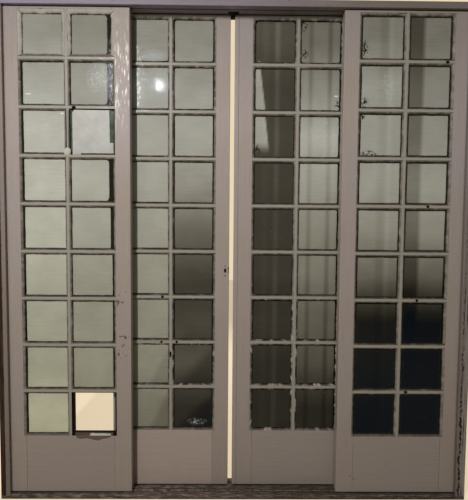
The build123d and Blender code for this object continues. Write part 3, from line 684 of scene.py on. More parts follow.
rail_steel = old_metal("drawn_mild_steel", "#7d766e", "#5f5850", "#352823", 0.46, 0.38, mm(0.8))
case_steel = old_metal("pressed_zinc_coated_steel", "#9c9d9c", "#7f8180", "#6a4a36", 0.52, 0.50, mm(1.2))
axle_steel = old_metal("turned_steel", "#b0aca7", "#8f8b86", "#5e3d2b", 0.60, 0.28, mm(0.6))
sheave_iron = old_metal("cast_iron", "#6e6965", "#4d4845", "#523728", 0.50, 0.45, mm(1.0))
lock_steel = old_metal("lock_plate_steel", "#8f8881", "#6f6861", "#4c3426", 0.48, 0.45, mm(0.9))
for name in ("front_rail", "rear_rail", "rail_pins"):
    dress(name, rail_steel)
for leaf in LEAVES:
    dress(leaf + "_roller_cases", case_steel)
    dress(leaf + "_axles", axle_steel)
    dress(leaf + "_left_sheave", sheave_iron)
    dress(leaf + "_right_sheave", sheave_iron)
for name in ("leaf_2_lock_case", "leaf_2_lock_bolt", "leaf_3_strike"):
    dress(name, lock_steel)
print("dressed rails, rollers and lock")

# %% [markdown]
# Behind the keyhole sits the pack of levers that the key lifts. It is only a dark plate in
# the lock case, above the bolt and free of it, but it keeps daylight out of the keyhole.

# %% Lock levers
case_low, case_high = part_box("leaf_2_lock_case")
middle_y = (case_low.y + case_high.y) / 2
LEVERS_LOW = (case_low.x + mm(5), middle_y + mm(1.4), case_high.z - mm(52))
LEVERS_HIGH = (case_high.x - mm(4), middle_y + mm(4.6), case_high.z - mm(24))
ends = list(zip(LEVERS_LOW, LEVERS_HIGH))
levers = new_piece(
    "leaf_2_lock_levers",
    [(x, y, z) for z in ends[2] for y in ends[1] for x in ends[0]],
    [(0, 2, 3, 1), (4, 5, 7, 6), (0, 1, 5, 4), (2, 6, 7, 3), (0, 4, 6, 2), (1, 3, 7, 5)],
    sheave_iron,
)
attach(levers, "leaf_2")
print(levers.name, [round(1000 * size, 1) for size in levers.dimensions])

# %% [markdown]
# The panes are thin drawn glass with a brushed-on coat on the back, which lets light
# through but no view.
# Drawn glass is never flat: its front is a grid of points that wander by a few tenths of
# a millimetre, so reflections bend. The coat stops short of the putty in a ragged round-
# cornered edge and leaves a thin dark line there, partly grime and partly painted shade.
# Each point of the grid therefore keeps three numbers: how far it lies inside the coat's
# edge, how thick the coat is, whose thin end also paints shade and dark reflections, and
# one of its pane's own, which sets that pane's noise apart. The finish reads them as
# attributes.

# %% How thick the coat is, and where it paints shade
# Knots of coat thickness down each column of panes, as (row from the top, thickness); low values also paint
# shade and dark reflections.
COAT_WITH_SHADE = {
    ("leaf_1", 0): [(1, 0.57), (2, 0.73), (3, 0.87), (5, 0.91), (7, 0.79), (8, 0.80), (9, 0.96)],
    ("leaf_1", 1): [(1, 0.52), (2, 0.64), (4, 0.82), (6, 0.68), (9, 0.69)],
    ("leaf_2", 0): [(1, 0.58), (2, 0.70), (3, 0.77), (8, 0.65), (9, 0.54)],
    ("leaf_2", 1): [(1, 0.56), (3, 0.78), (4, 0.64), (5, 0.42), (6, 0.24), (8, 0.31), (9, 0.14)],
    ("leaf_3", 0): [(1, 0.27), (2, 0.19), (3, 0.23), (5, 0.17), (7, 0.20), (8, 0.13), (9, 0.13)],
    ("leaf_3", 1): [(1, 0.44), (2, 0.59), (3, 0.88), (5, 0.62), (7, 0.43), (8, 0.31), (9, 0.13)],
    ("leaf_4", 0): [(1, 0.50), (2, 0.72), (4, 0.78), (5, 0.66), (6, 0.43), (7, 0.06), (9, 0.00)],
    ("leaf_4", 1): [(1, 0.49), (2, 0.62), (4, 0.79), (5, 0.70), (6, 0.40), (7, 0.01), (9, 0.00)],
}
# Upright bands in a column of panes, as (from, to, soft edge, change), in pane widths: painted shade and
# reflections of folds behind and before the glass.
SHADE_BANDS = {
    ("leaf_3", 0): [(0.50, 0.62, 0.05, 0.14), (0.20, 0.34, 0.08, 0.05)],
    ("leaf_3", 1): [(0.20, 0.30, 0.05, -0.12), (0.68, 0.78, 0.05, -0.14)],
    ("leaf_4", 0): [(0.48, 0.62, 0.06, -0.08), (0.64, 0.72, 0.03, 0.06)],
    ("leaf_4", 1): [(-0.5, 0.37, 0.02, -0.26)],
}


def smooth(low, high, value):
    """Zero below low, one above high, and smooth between."""
    t = min(max((value - low) / (high - low), 0), 1)
    return t * t * (3 - 2 * t)


def between(knots, value):
    """A value read off straight lines between knots."""
    if value <= knots[0][0]:
        return knots[0][1]
    for (a, low), (b, high) in zip(knots, knots[1:]):
        if value <= b:
            return low + (high - low) * (value - a) / (b - a)
    return knots[-1][1]


def coat_and_shade(leaf, row, column, across, up):
    """Thickness of the coat, from 0 (bare, dark) to 1, at a share of the pane's size; its low end also
    paints shade and dark reflections.
    """
    from_top = ROW_COUNT - row + 0.5 - up
    coat_with_shade = between(COAT_WITH_SHADE[leaf, column], from_top)
    for start, end, soft, change in SHADE_BANDS.get((leaf, column), []):
        inside = smooth(start - soft, start + soft, across) - smooth(end - soft, end + soft, across)
        coat_with_shade += change * inside * min(1, 1.6 * coat_with_shade + 0.2)
    if (leaf, column) == ("leaf_3", 0):
        edge = 0.14 + 0.125 * (from_top - 1.5)
        wedge = smooth(edge + 0.02, edge - 0.02, across)
        fade = smooth(1.45, 1.5, from_top) * (1 - smooth(3.1, 3.45, from_top))
        coat_with_shade += 0.50 * wedge * fade
    if (leaf, column) == ("leaf_2", 1):
        coat_with_shade -= 0.10 * smooth(0.9, 1.4, across + 1 - up) * smooth(7, 8, from_top)
    if (leaf, column) == ("leaf_2", 0):
        coat_with_shade -= 0.10 * smooth(0.95, 1.15, across + (1 - up) / 2) * smooth(7.4, 8, from_top)
    return max(coat_with_shade, 0)


print("coat in the first pane:", round(coat_and_shade("leaf_1", 8, 0, 0.5, 0.5), 3))

# %% [markdown]
# The margins that the coat leaves differ from leaf to leaf, partly as whoever brushed it on
# held the brush differently and partly as painted shade. A rounded rectangle's distance is
# a short formula, and some slow noise makes it wander.

# %% How far the coat reaches
# Dark margins in millimetres, partly grime and partly painted shade: left, right, bottom and top of a pane,
# by leaf and column.
MARGINS = {
    ("leaf_1", 0): (7.0, 0.5, 2.0, 2.0),
    ("leaf_1", 1): (2.5, 7.0, 2.0, 2.5),
    ("leaf_2", 0): (0.0, 0.5, 2.5, 2.0),
    ("leaf_2", 1): (5.0, 5.5, 2.0, 3.5),
    ("leaf_3", 0): (4.0, 3.5, 2.0, 4.5),
    ("leaf_3", 1): (2.0, 6.0, 2.0, 3.5),
    ("leaf_4", 0): (5.0, 5.0, 3.0, 6.0),
    ("leaf_4", 1): (4.5, 8.0, 4.0, 6.5),
}
# How round the coat's corners and the putty's are, in millimetres.
CORNER = {"leaf_1": 2.5, "leaf_2": 4.5, "leaf_3": 6.0, "leaf_4": 2.5}
# Panes whose coat stops much further from one edge. The wide right margins of the first leaf's second column
# are painted shade: the shaded stile of the second leaf behind it.
ODD_MARGINS = {
    ("leaf_1", 8, 0): (10.0, 7.0, 3.0, 10.0),
    ("leaf_1", 8, 1): (10.0, 23.0, 3.0, 11.0),
    ("leaf_1", 7, 0): (7.0, 0.5, 2.0, 4.5),
    ("leaf_1", 7, 1): (4.0, 24.0, 2.0, 4.5),
    ("leaf_1", 5, 1): (3.0, 19.0, 2.0, 3.0),
    ("leaf_1", 4, 1): (3.0, 14.0, 2.0, 3.0),
}


def wobble(x, z, seed, size=1000):
    """Smooth noise between -1 and 1 that changes over so many millimetres."""
    return noise.noise(Vector((x / mm(size), z / mm(size), seed)))


def coat_reach(leaf, row, column, x, z, seed):
    """Distance in millimetres inside the coat's edge, below zero outside it."""
    x0, x1, z0, z1 = sight(leaf, row, column)
    margins = ODD_MARGINS.get((leaf, row, column), MARGINS[leaf, column])
    left, right, bottom, top = [mm(m) for m in margins]
    wander = mm(1.1) * wobble(x, z, seed, 60) + mm(0.6) * wobble(x, z, seed + 9, 13)
    rounder = 1.8 if row == ROW_COUNT - 1 else 1
    radius = mm(CORNER[leaf] * rounder + 2 * wobble(seed, 3.1, 0.2))
    half_x, half_z = (x1 - x0 - left - right) / 2, (z1 - z0 - bottom - top) / 2
    qx = abs(x - (x0 + left + half_x)) - half_x + radius
    qz = abs(z - (z0 + bottom + half_z)) - half_z + radius
    outside = math.hypot(max(qx, 0), max(qz, 0)) + min(max(qx, qz), 0) - radius
    return 1000 * (wander - outside)


print("reach at a pane's middle:", round(coat_reach("leaf_2", 4, 0, -0.39, 1.2, 1.0), 1), "mm")


# %% Points of a pane
GLASS_WAVE = mm(0.16)
GLASS_LEAN = 0.0022
FRONT, BACK, EDGE, BARE = range(4)


def grid_lines(low, high, seen_low, seen_high, inside):
    """Places of grid lines: close together near the sight line, wider apart inside."""
    near = [mm(d) for d in (-0.5, 1.5, 4, 7, 11, 17)]
    start, end = seen_low + near[-1], seen_high - near[-1]
    middle = [start + (end - start) * i / inside for i in range(1, inside)]
    return [low] + [seen_low + d for d in near] + middle + [seen_high - d for d in reversed(near)] + [high]


def pane_points(leaf, row, column):
    """One pane's points, faces, finishes of the faces, and values of the points."""
    seed = 1.7 * row + 20.3 * column + 50.9 * LEAVES.index(leaf)
    patched = (leaf, row, column) == PATCHED_PANE
    x0, x1, z0, z1 = rebate(leaf, row, column)
    s0, s1, t0, t1 = sight(leaf, row, column)
    start = x0 + GLASS_EDGE_GAP + (SLIPPED_BAR_SHIFT if patched else 0)
    inside = 22 if leaf == "leaf_3" else 8
    xs = grid_lines(start, x1 - GLASS_EDGE_GAP, s0, s1, inside)
    zs = grid_lines(z0 + GLASS_EDGE_GAP, z1 - GLASS_EDGE_GAP, t0, t1, inside)
    front = LOW[leaf].y + GLASS_DEPTH
    lean_x = GLASS_LEAN * wobble(seed, 0.5, 7.7)
    lean_z = GLASS_LEAN * wobble(seed, 4.5, 1.3)
    points, values = [], []
    for y in (front, front + GLASS_THICKNESS):
        for z in zs:
            for x in xs:
                wave = GLASS_WAVE * wobble(x, z, seed * 3, 75)
                lean = lean_x * (x - (s0 + s1) / 2) + lean_z * (z - (t0 + t1) / 2)
                points.append((x, y + wave + lean, z))
                coat_with_shade = coat_and_shade(leaf, row, column, (x - s0) / (s1 - s0), (z - t0) / (t1 - t0))
                values.append((coat_reach(leaf, row, column, x, z, seed), coat_with_shade, seed))
    nx, nz = len(xs), len(zs)
    back = nx * nz
    faces, sides = [], []
    for j in range(nz - 1):
        for i in range(nx - 1):
            a, b, c, d = j * nx + i, j * nx + i + 1, (j + 1) * nx + i + 1, (j + 1) * nx + i
            faces += [(a, b, c, d), (d + back, c + back, b + back, a + back)]
            sides += [FRONT, BACK]
    rim = list(range(nx)) + [j * nx + nx - 1 for j in range(1, nz)]
    rim += [(nz - 1) * nx + i for i in range(nx - 2, -1, -1)] + [j * nx for j in range(nz - 2, 0, -1)]
    for a, b in zip(rim, rim[1:] + rim[:1]):
        faces.append((b, a, a + back, b + back))
        sides.append(EDGE)
    return points, faces, [BARE] * len(faces) if patched else sides, values


# %% Panes of a leaf
PANE_VALUES = ("coat_reach", "coat_and_shade", "pane_seed")


def panes_of(leaf, left_out):
    """The leaf, row and column of each of its panes that isn't left out."""
    panes = [(leaf, row, column) for row in range(ROW_COUNT) for column in range(2)]
    return [pane for pane in panes if pane not in left_out]


def joined(pieces):
    """Several meshes as one: their points, their faces, and each list that goes with them."""
    points, faces, *lists = [[] for _ in pieces[0]]
    for more_points, more_faces, *more_lists in pieces:
        faces += [tuple(i + len(points) for i in face) for face in more_faces]
        points += more_points
        for whole, more in zip(lists, more_lists):
            whole += more
    return points, faces, *lists


def keep_values(mesh, name, values):
    """Stores one number for each point, where a finish can read it."""
    mesh.attributes.new(name, "FLOAT", "POINT").data.foreach_set("value", values)


def leaf_panes(leaf, *finishes):
    """All panes of a leaf in one piece, with the coat's values on its points."""
    pieces = [pane_points(*pane) for pane in panes_of(leaf, {MISSING_PANE})]
    points, faces, sides, values = joined(pieces)
    panes = new_piece(leaf + "_coated_panes", points, faces, *finishes)
    for index, name in enumerate(PANE_VALUES):
        keep_values(panes.data, name, [value[index] for value in values])
    panes.data.polygons.foreach_set("material_index", sides)
    panes.data.polygons.foreach_set("use_smooth", [side != EDGE for side in sides])
    panes.data.update()
    return panes


print("panes in the first leaf:", len(panes_of("leaf_1", {MISSING_PANE})))

# %% [markdown]
# The finish of the coated glass. The colour runs from nearly black, where the coat is
# missing and the dark is painted shade and dark reflections, over brown greys to a pale
# greenish white. Brush lines run level across every pane; real ones are under a millimetre
# apart and are drawn three millimetres apart. On top lie smears and specks, with painted
# glints, glare and shade. The front is glass, so it is smooth with an IOR of 1.5, and the
# back is the bare coat, matt and a little rougher.

# %% Marks and tones of the coat
# Marks on the panes, as (X, Z, half width, half height) in metres: a dried pale crust that in
# places is a painted highlight, painted glare round the small lamp's glint, painted shade with
# a bluish painted sheen over bare glass, a flaked coat, and small painted glints.
# A dried pale crust that in places is a painted highlight.
CRUST_AND_HIGHLIGHT = [
    (0.382, 1.625, 0.080, 0.090),
    (0.652, 1.817, 0.040, 0.080),
    (-0.600, 1.845, 0.050, 0.075),
    (-0.822, 1.619, 0.035, 0.085),
    (-0.171, 0.316, 0.050, 0.020),
]
# Painted glare: a pale bluish haze round the small lamp's glint in the glass.
GLARE_HAZE = [
    (-0.345, 1.835, 0.110, 0.080),
    (-0.430, 1.820, 0.050, 0.090),
    (-0.366, 1.962, 0.070, 0.030),
    (-0.585, 1.845, 0.070, 0.085),
]
# Painted shade with a bluish painted sheen, over bare glass at the first leaf's right edge.
SHADE_AND_SHEEN = [(-0.541, 1.825, 0.018, 0.100)]
FLAKED = [
    (0.546, 1.980, 0.020, 0.048),
    (0.551, 1.752, 0.022, 0.030),
    (0.576, 1.536, 0.045, 0.016),
    (0.543, 1.693, 0.014, 0.020),
    (0.295, 2.100, 0.020, 0.038),
    (0.299, 1.976, 0.020, 0.026),
    (0.451, 1.760, 0.022, 0.022),
    (0.464, 1.688, 0.010, 0.036),
    (0.092, 1.560, 0.020, 0.030),
]
# Painted glints: small bright dashes on the coat.
PAINTED_GLINTS = [
    (-0.8945, 1.7752, 0.017, 0.0035),
    (0.4411, 1.7948, 0.013, 0.0040),
    (-0.7502, 1.6943, 0.010, 0.0040),
]
# Each kind of mark, as (places, soft share, two levels of a noise, the mark's strength at
# each of them, colour).
MARKS = [
    (SHADE_AND_SHEEN, 0.3, 0.0, 1.0, 0.85, 0.85, "#575c68"),
    (GLARE_HAZE, 0.8, 0.35, 0.65, 0.22, 0.55, "#c6d0d6"),
    (CRUST_AND_HIGHLIGHT, 0.7, 0.46, 0.62, 0.0, 0.62, "#ccd1ca"),
    (FLAKED, 0.6, 0.52, 0.47, 0.0, 1.0, "#14130f"),
    (PAINTED_GLINTS, 0.6, 0.0, 1.0, 1.0, 1.0, "#f1f3ef"),
]
# The coat's colour by its thickness; its near-black end is painted shade and dark reflections.
COAT_TONES = [
    (0.00, "#010e19"),
    (0.10, "#26251f"),
    (0.25, "#4c4a42"),
    (0.45, "#7c7b71"),
    (0.65, "#a3a59d"),
    (0.85, "#bfc3bb"),
    (1.00, "#d6dad2"),
]
print("marks on the panes:", sum(len(kind[0]) for kind in MARKS))

# %% Coated glass
YELLOWING = (0.92, 0.88, 0.62, 1)
GLASS_IOR = 1.5
GLASS_SHINE = 0.22


def coated_glass(name, roughness, relief):
    """Glass with a brushed coat behind it, read from the values on the points."""
    fixed = {"Roughness": roughness, "IOR": GLASS_IOR, "Specular_IOR_Level": GLASS_SHINE}
    material, tree, shader, place = new_finish(name, **fixed)
    reach, coat_with_shade, seed = [add(tree, "Attribute", out="Fac", attribute_name=v) for v in PANE_VALUES]
    apart = add(tree, "CombineXYZ", {"Y": seed})
    own = add(tree, "VectorMath", {0: place, 1: apart}, operation="ADD")

    brushed = add(tree, "Mapping", {"Vector": own, "Scale": (1 / mm(85), 1.0, 1 / mm(3))})
    lines = add(tree, "TexNoise", {"Vector": brushed, "Scale": 1.0, "Detail": 4.0, "Roughness": 0.6})
    streaky = add(tree, "MapRange", {0: lines, 1: 0.3, 2: 0.7, 3: -0.045, 4: 0.045})
    cloudy = blotches(tree, own, 1 / mm(110), 3.0, 0.3, 0.7, -0.05, 0.05)
    uneven = add(tree, "Math", {0: streaky, 1: cloudy}, operation="ADD")
    uneven = add(tree, "Math", {0: uneven, 1: coat_with_shade}, operation="MULTIPLY")
    coat = add(tree, "Math", {0: coat_with_shade, 1: uneven}, operation="ADD")
    pale = add(tree, "ValToRGB", {"Fac": coat}, stops=COAT_TONES)
    height = add(tree, "SeparateXYZ", {0: place}, "Z")
    yellow = add(tree, "MapRange", {0: height, 1: 1.75, 2: 0.5, 4: 0.75})
    yellow = add(tree, "Math", {0: yellow, 1: coat_with_shade}, operation="MULTIPLY")
    inputs = {0: yellow, 6: pale, 7: YELLOWING}
    yellowed = add(tree, "Mix", inputs, 2, data_type="RGBA", blend_type="MULTIPLY")

    ragged = blotches(tree, own, 1 / mm(7), 5.0, 0.3, 0.7, -0.9, 0.9, 0.7)
    reach = add(tree, "Math", {0: reach, 1: ragged}, operation="ADD")
    covered = add(tree, "MapRange", {0: reach, 1: -0.2, 2: 0.3})
    # A darker rim at the coat's edge: partly grime, partly painted shade.
    rim = add(tree, "MapRange", {0: reach, 1: 5.0, 2: 0.3, 4: 0.15})
    rim_grime_and_shade = add(tree, "Mix", {0: rim, 6: yellowed, 7: linear("#4b483c")}, 2, data_type="RGBA")
    layers = [(covered, rim_grime_and_shade)]
    crumb = add(tree, "TexNoise", {"Vector": own, "Scale": 1 / mm(9), "Detail": 5.0, "Roughness": 0.65})
    for marks, soft, low, high, least, most, tint in MARKS:
        strength = add(tree, "MapRange", {0: crumb, 1: low, 2: high, 3: least, 4: most})
        where = spots(tree, place, marks, soft)
        mask = add(tree, "Math", {0: strength, 1: where}, operation="MULTIPLY")
        layers.append((mask, tint))
    speck = blotches(tree, own, 1 / mm(5), 3.0, 0.70, 0.74, above=0.7)
    layers.append((speck, "#b9b7aa"))
    # Bare glass is drawn near-black: painted shade and dark reflections.
    colour = coats(tree, linear("#0d0d0b"), *layers)

    smear = blotches(tree, own, 1 / mm(17), 7.0, 0.50, 0.66, roughness, roughness + 0.06, 0.75)
    ripple = add(tree, "TexNoise", {"Vector": own, "Scale": 1 / mm(20), "Detail": 1.0})
    pucker = add(tree, "TexNoise", {"Vector": own, "Scale": 1 / mm(7), "Detail": 2.0})
    film = reliefs(tree, None, (ripple, 0.2, 0.35), (pucker, 0.5, 0.07), (lines, relief, 0.25))
    feed(shader, {"Base Color": colour, "Roughness": smear, "Normal": film})
    return material


glass_front_finish = coated_glass("drawn_glass_coated_behind", 0.05, 0.12)
glass_back_finish = coated_glass("brushed_coat_seen_from_behind", 0.6, 0.6)
print("made", glass_front_finish.name, "and", glass_back_finish.name)

# %% Glass edges and bare glass
glass_edge_finish, tree, shader, place = new_finish(
    "cut_glass_edge", Base_Color=linear("#2c3d34"), Roughness=0.3, IOR=GLASS_IOR
)
nick = add(tree, "TexNoise", {"Vector": place, "Scale": 1 / mm(2), "Detail": 2.0})
feed(shader, {"Normal": add(tree, "Bump", {"Height": nick, "Distance": mm(0.3)})})

bare_glass, tree, shader, place = new_finish("old_bottle_green_glass", Roughness=0.06, IOR=GLASS_IOR)
murk = add(tree, "TexNoise", {"Vector": place, "Scale": 1 / mm(25), "Detail": 4.0})
colour = add(tree, "ValToRGB", {"Fac": murk}, stops=[(0.35, "#2f3b36"), (0.65, "#4a5c55")])
ripple = add(tree, "TexNoise", {"Vector": place, "Scale": 1 / mm(30)})
relief = add(tree, "Bump", {"Height": ripple, "Strength": 0.2, "Distance": mm(0.3)})
feed(shader, {"Base Color": colour, "Normal": relief})

for leaf in LEAVES:
    panes = leaf_panes(leaf, glass_front_finish, glass_back_finish, glass_edge_finish, bare_glass)
    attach(panes, leaf)
    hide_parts(leaf + "_panes")
    print(panes.name, len(panes.data.polygons), "faces")

# %% [markdown]
# Linseed putty is pressed into the rebate with a thumb and struck off with a knife, so it
# runs from the front of the bar down to the glass. On the real door it has been painted
# over many times, its inner corners are round, its foot wanders over the glass, and some
# of it has fallen out. Each pane gets one closed ring: a section of six points carried
# round a rounded rectangle, with noise on its foot.

# %% Putty rings
BROAD_PUTTY = ("leaf_1", 8)
BROAD_BY = mm(8)
# The rows, by leaf, whose putty is smeared over the glass, and those where it's ragged.
SMEARED_ROWS = {("leaf_3", 0), ("leaf_3", 1), ("leaf_3", 2), ("leaf_2", 1), ("leaf_1", 8)}
RAGGED_ROWS = {("leaf_3", 8), ("leaf_2", 8), ("leaf_2", 7)}
LAND = mm(0.8)
SIDE_STEPS = 34
CORNER_STEPS = 5


def round_rectangle(x0, x1, z0, z1, radius):
    """Points and inward directions round a rectangle with round corners."""
    places = []
    corners = [
        (x1 - radius, z0 + radius, -90),
        (x1 - radius, z1 - radius, 0),
        (x0 + radius, z1 - radius, 90),
        (x0 + radius, z0 + radius, 180),
    ]
    for index, (cx, cz, start) in enumerate(corners):
        for step in range(CORNER_STEPS + 1):
            angle = math.radians(start + 90 * step / CORNER_STEPS)
            ray = (math.cos(angle), math.sin(angle))
            places.append((cx + radius * ray[0], cz + radius * ray[1], -ray[0], -ray[1]))
        nx, nz, _ = corners[(index + 1) % 4]
        ax, az = cx + radius * ray[0], cz + radius * ray[1]
        bx, bz = nx + radius * ray[0], nz + radius * ray[1]
        for step in range(1, SIDE_STEPS):
            t = step / SIDE_STEPS
            places.append((ax + (bx - ax) * t, az + (bz - az) * t, -ray[0], -ray[1]))
    return places


def tube(count, size, closed):
    """Faces round a row of sections that have so many points each."""
    faces = []
    for i in range(count if closed else count - 1):
        a, b = i * size, (i + 1) % count * size
        faces += [(a + k, b + k, b + (k + 1) % size, a + (k + 1) % size) for k in range(size)]
    return faces


def putty_ring(leaf, row, column):
    """One closed ring of putty, as points, faces and how pale each point is."""
    seed = 2.3 * row + 17.9 * column + 61.7 * LEAVES.index(leaf)
    rag = mm(4.5) if (leaf, row) in SMEARED_ROWS else mm(3.2) if (leaf, row) in RAGGED_ROWS else mm(1.6)
    broad = BROAD_BY if (leaf, row) == BROAD_PUTTY else 0
    x0, x1, z0, z1 = rebate(leaf, row, column)
    radius = mm(CORNER[leaf] + 1.5 + 2 * wobble(seed, 8.8, 2.1))
    outer = round_rectangle(x0, x1, z0, z1, mm(0.4))
    land = round_rectangle(x0 + LAND, x1 - LAND, z0 + LAND, z1 - LAND, LAND)
    foot = round_rectangle(*sight(leaf, row, column), radius)
    front = LOW[leaf].y
    glass = front + GLASS_DEPTH
    points, pale = [], []
    for (ox, oz, _, _), (lx, lz, _, _), (fx, fz, nx, nz) in zip(outer, land, foot):
        quick = wobble(fx, fz, seed + 5, 6)
        reach = max(rag * (0.9 * wobble(fx, fz, seed, 26) + 0.6 * quick), -mm(2.5)) + broad
        loss = smooth(0.42, 0.55, wobble(fx, fz, seed + 31, 45))
        top = front + mm(0.8) + mm(3.5) * loss
        fx, fz = fx + nx * reach, fz + nz * reach
        bulge = mm(0.5) * quick - mm(0.9) * loss
        points += [
            (ox, top, oz),
            (lx, top, lz),
            ((lx + fx) / 2, (top + glass) / 2 - bulge, (lz + fz) / 2),
            (fx, glass - mm(0.45), fz),
            (fx - nx * mm(0.4), glass - mm(0.02), fz - nz * mm(0.4)),
            (ox, glass - mm(0.02), oz),
        ]
        if not broad:
            pale += [max(0, reach) / (mm(3) if rag > mm(4) else mm(4))] * 6
        elif nz > 0.5:
            pale += [0.0, 0.0, 0.1, 1.0, 1.0, 0.0]
        else:
            pale += [0.5, 0.55, 0.6, 1.0, 1.0, 0.5]
    return points, tube(len(outer), 6, closed=True), pale


print("points round a pane:", 4 * (CORNER_STEPS + SIDE_STEPS))


# %% Putty remnant and filler
REMNANT_STEPS = 56
LUMP_RISE = mm(4.9)
LUMP_REACH = mm(16)
LUMP_SINKS = mm(2)


def putty_remnant():
    """The broken strip under the missing pane: low and brown at first, then a pale shard."""
    x0, x1, z0, _ = rebate(*MISSING_PANE)
    start, end = x0 + mm(14), x1 - mm(22)
    front = LOW["leaf_1"].y
    points, pale = [], []
    for i in range(REMNANT_STEPS + 1):
        t = i / REMNANT_STEPS
        x = start + (end - start) * t
        shard = smooth(0.36, 0.42, t) * (1 - smooth(0.93, 1.0, t))
        rise = mm(3.0) + mm(6.0) * shard * (1 - 0.45 * t)
        rise = max(rise + mm(1.4) * noise.noise(Vector((x / mm(8), 0.3, 4.4))), mm(1.6))
        out = mm(4.0) - mm(2.6) * shard + mm(0.8) * noise.noise(Vector((x / mm(6), 9.1, 0)))
        points += [
            (x, front + out, z0 + mm(0.05)),
            (x, front + mm(12.9), z0 + mm(0.05)),
            (x, front + mm(12.9), z0 + rise - mm(0.4)),
            (x, front + mm(9.6), z0 + rise),
            (x, front + out + mm(0.4), z0 + mm(1.2)),
        ]
        pale += [shard] * 5
    ends = [tuple(range(5)), tuple(REMNANT_STEPS * 5 + k for k in range(4, -1, -1))]
    return points, ends + tube(REMNANT_STEPS + 1, 5, closed=False), pale


def filler_lump():
    """A thumbed dome of white filler over the crossing below the slipped bar."""
    leaf, row, _ = PATCHED_PANE
    x = (LOW[leaf].x + HIGH[leaf].x) / 2
    z = LOW[leaf].z + BOTTOM_RAIL + row * ROW_PITCH + mm(5)
    front = LOW[leaf].y
    rings, spokes = 7, 30
    points, faces = [(x, front - LUMP_RISE, z)], []
    for ring in range(1, rings + 2):
        t = min(ring / rings, 1)
        depth = -LUMP_RISE * (1 - t ** 2.2) if ring <= rings else LUMP_SINKS
        for spoke in range(spokes):
            angle = 2 * math.pi * spoke / spokes
            cosine, sine = math.cos(angle), math.sin(angle)
            reach = LUMP_REACH * t * min(1 + 0.16 * wobble(cosine * 1.6, sine * 1.6, 3.3), 1.03)
            dent = mm(0.5) * wobble(reach * cosine, reach * sine, 1.1, 5)
            y = front + min(depth + (dent if ring < rings else 0), LUMP_SINKS)
            points.append((x + reach * cosine, max(y, front - mm(4.95)), z + 1.15 * reach * sine))
    for spoke in range(spokes):
        following = (spoke + 1) % spokes
        faces.append((0, 1 + spoke, 1 + following))
        for ring in range(rings):
            a, b = 1 + ring * spokes + spoke, 1 + ring * spokes + following
            faces.append((a, a + spokes, b + spokes, b))
    last = 1 + rings * spokes
    faces.append(tuple(last + spokes - 1 - i for i in range(spokes)))
    return points, faces, [1.0] * len(points)


def leaf_putty(leaf, finish):
    """All putty of a leaf in one piece."""
    pieces = [putty_ring(*pane) for pane in panes_of(leaf, {MISSING_PANE, PATCHED_PANE})]
    if leaf == "leaf_1":
        pieces += [putty_remnant(), filler_lump()]
    points, faces, pale = joined(pieces)
    putty = new_piece(leaf + "_putty_lines", points, faces, finish)
    keep_values(putty.data, "pale", pale)
    putty.data.polygons.foreach_set("use_smooth", [True] * len(faces))
    putty.data.update()
    return putty


print("the lump has", len(filler_lump()[0]), "points")

# %% [markdown]
# Painted putty is duller than painted wood. Dust settles on the ledges that face up and
# turns them nearly black, and the paint is thin and pale where the putty runs out on the
# glass. The direction that the surface faces gives the dust its mask.

# %% Painted putty
painted_putty, tree, shader, place = new_finish("painted_linseed_putty", Roughness=0.6, IOR=GLOSS_IOR)
pale = add(tree, "Attribute", out="Fac", attribute_name="pale")
blotch = add(tree, "TexNoise", {"Vector": place, "Scale": 1 / mm(22), "Detail": 4.0})
greys = [(0.35, "#615e56"), (0.52, "#78746b"), (0.68, "#8c887e")]
colour = add(tree, "ValToRGB", {"Fac": blotch}, stops=greys)
lighter = add(tree, "Math", {0: pale, 1: 0.85}, operation="MULTIPLY", use_clamp=True)
facing = add(tree, "NewGeometry", out="Normal")
facing = add(tree, "SeparateXYZ", {0: facing}, "Z")
ledge = add(tree, "MapRange", {0: facing, 1: 0.15, 2: 0.6, 4: 0.8})
sunk = add(tree, "MapRange", {0: pale, 3: 1.0, 4: 0.0})
ledge = add(tree, "Math", {0: ledge, 1: sunk}, operation="MULTIPLY")
# Grime and painted shade in the putty's corners.
grime_and_shade = corner_grime_and_shade(tree, mm(6), 0.85, 0.3, 0.7)
colour = coats(tree, colour, (lighter, "#cdcbc2"), (ledge, "#2b2822"), (grime_and_shade, "#2a2620"))
lumps = add(tree, "TexNoise", {"Vector": place, "Scale": 1 / mm(4), "Detail": 4.0})
relief = add(tree, "Bump", {"Height": lumps, "Strength": 0.7, "Distance": mm(0.8)})
feed(shader, {"Base Color": colour, "Normal": relief})

for leaf in LEAVES:
    putty = leaf_putty(leaf, painted_putty)
    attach(putty, leaf)
    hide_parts(leaf + "_putty")
    print(putty.name, len(putty.data.polygons), "faces")

# %% [markdown]
# The patch is a loose sheet of painted board that stands in for a broken pane. It is
# smooth and a cold greyish white, with dust on it in patches.

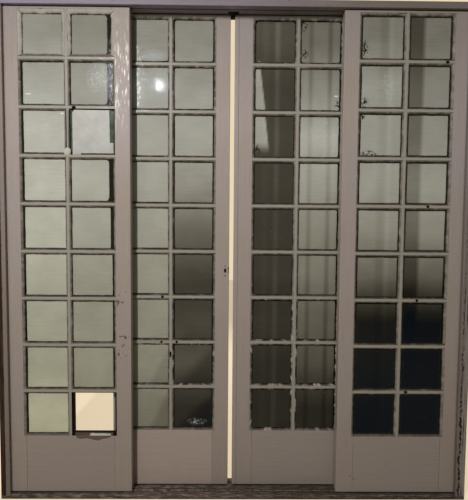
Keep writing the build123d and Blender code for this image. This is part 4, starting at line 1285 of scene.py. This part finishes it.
# %% Patch sheet
patch_board, tree, shader, place = new_finish("painted_hardboard", Roughness=0.45, IOR=GLOSS_IOR)
dust = add(tree, "TexNoise", {"Vector": place, "Scale": 1 / mm(50), "Detail": 5.0})
whites = [(0.30, "#a3a6a2"), (0.55, "#b1b4b0"), (0.75, "#bdbfba")]
colour = add(tree, "ValToRGB", {"Fac": dust}, stops=whites)
weave = add(tree, "TexNoise", {"Vector": place, "Scale": 1 / mm(3), "Detail": 3.0})
relief = add(tree, "Bump", {"Height": weave, "Strength": 0.3, "Distance": mm(0.3)})
feed(shader, {"Base Color": colour, "Normal": relief})
print("made", patch_board.name)

# %% Cut the patch
PATCH_FOOT = (mm(35), mm(6))
PATCH_TAB = (mm(17), mm(46))
PATCH_CORNER = mm(10)


def patch_outline():
    """Points round the sheet, with its foot, its tab and slightly uneven edges."""
    low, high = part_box("leaf_1_patch_sheet")
    foot, shelf = low.x + PATCH_FOOT[0], low.z + PATCH_FOOT[1]
    edge, tab = high.x - PATCH_TAB[0], shelf + PATCH_TAB[1]
    corners = [
        (low.x, low.z),
        (foot, low.z),
        (foot + mm(1), shelf),
        (high.x, shelf),
        (high.x - mm(1), tab - mm(2)),
        (edge + mm(1.5), tab),
        (edge, high.z - mm(1)),
        (low.x + PATCH_CORNER, high.z),
        (low.x, high.z - PATCH_CORNER),
    ]
    points = []
    for index, (ax, az) in enumerate(corners):
        bx, bz = corners[(index + 1) % len(corners)]
        steps = max(2, round(math.hypot(bx - ax, bz - az) / mm(6)))
        for step in range(steps):
            t = step / steps
            px, pz = ax + (bx - ax) * t, az + (bz - az) * t
            shift = mm(0.7) * wobble(px, pz, 6.6, 15)
            points.append((min(max(px + shift, low.x), high.x), min(max(pz + shift, low.z), high.z)))
    return low.y, high.y, points


near_y, far_y, outline = patch_outline()
count = len(outline)
patch = new_piece(
    "leaf_1_patch_board",
    [(x, near_y, z) for x, z in outline] + [(x, far_y, z) for x, z in outline],
    [tuple(range(count)), tuple(range(2 * count - 1, count - 1, -1))]
    + [(i, i + count, (i + 1) % count + count, (i + 1) % count) for i in range(count)],
    patch_board,
)
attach(patch, "leaf_1")
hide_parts("leaf_1_patch_sheet")
print(patch.name, "with", count, "points round it")

# %% [markdown]
# Last, the view transform is set to Standard. Nothing that was added may stand outside
# the solids.

# %% Finish
bpy.context.scene.view_settings.view_transform = "Standard"
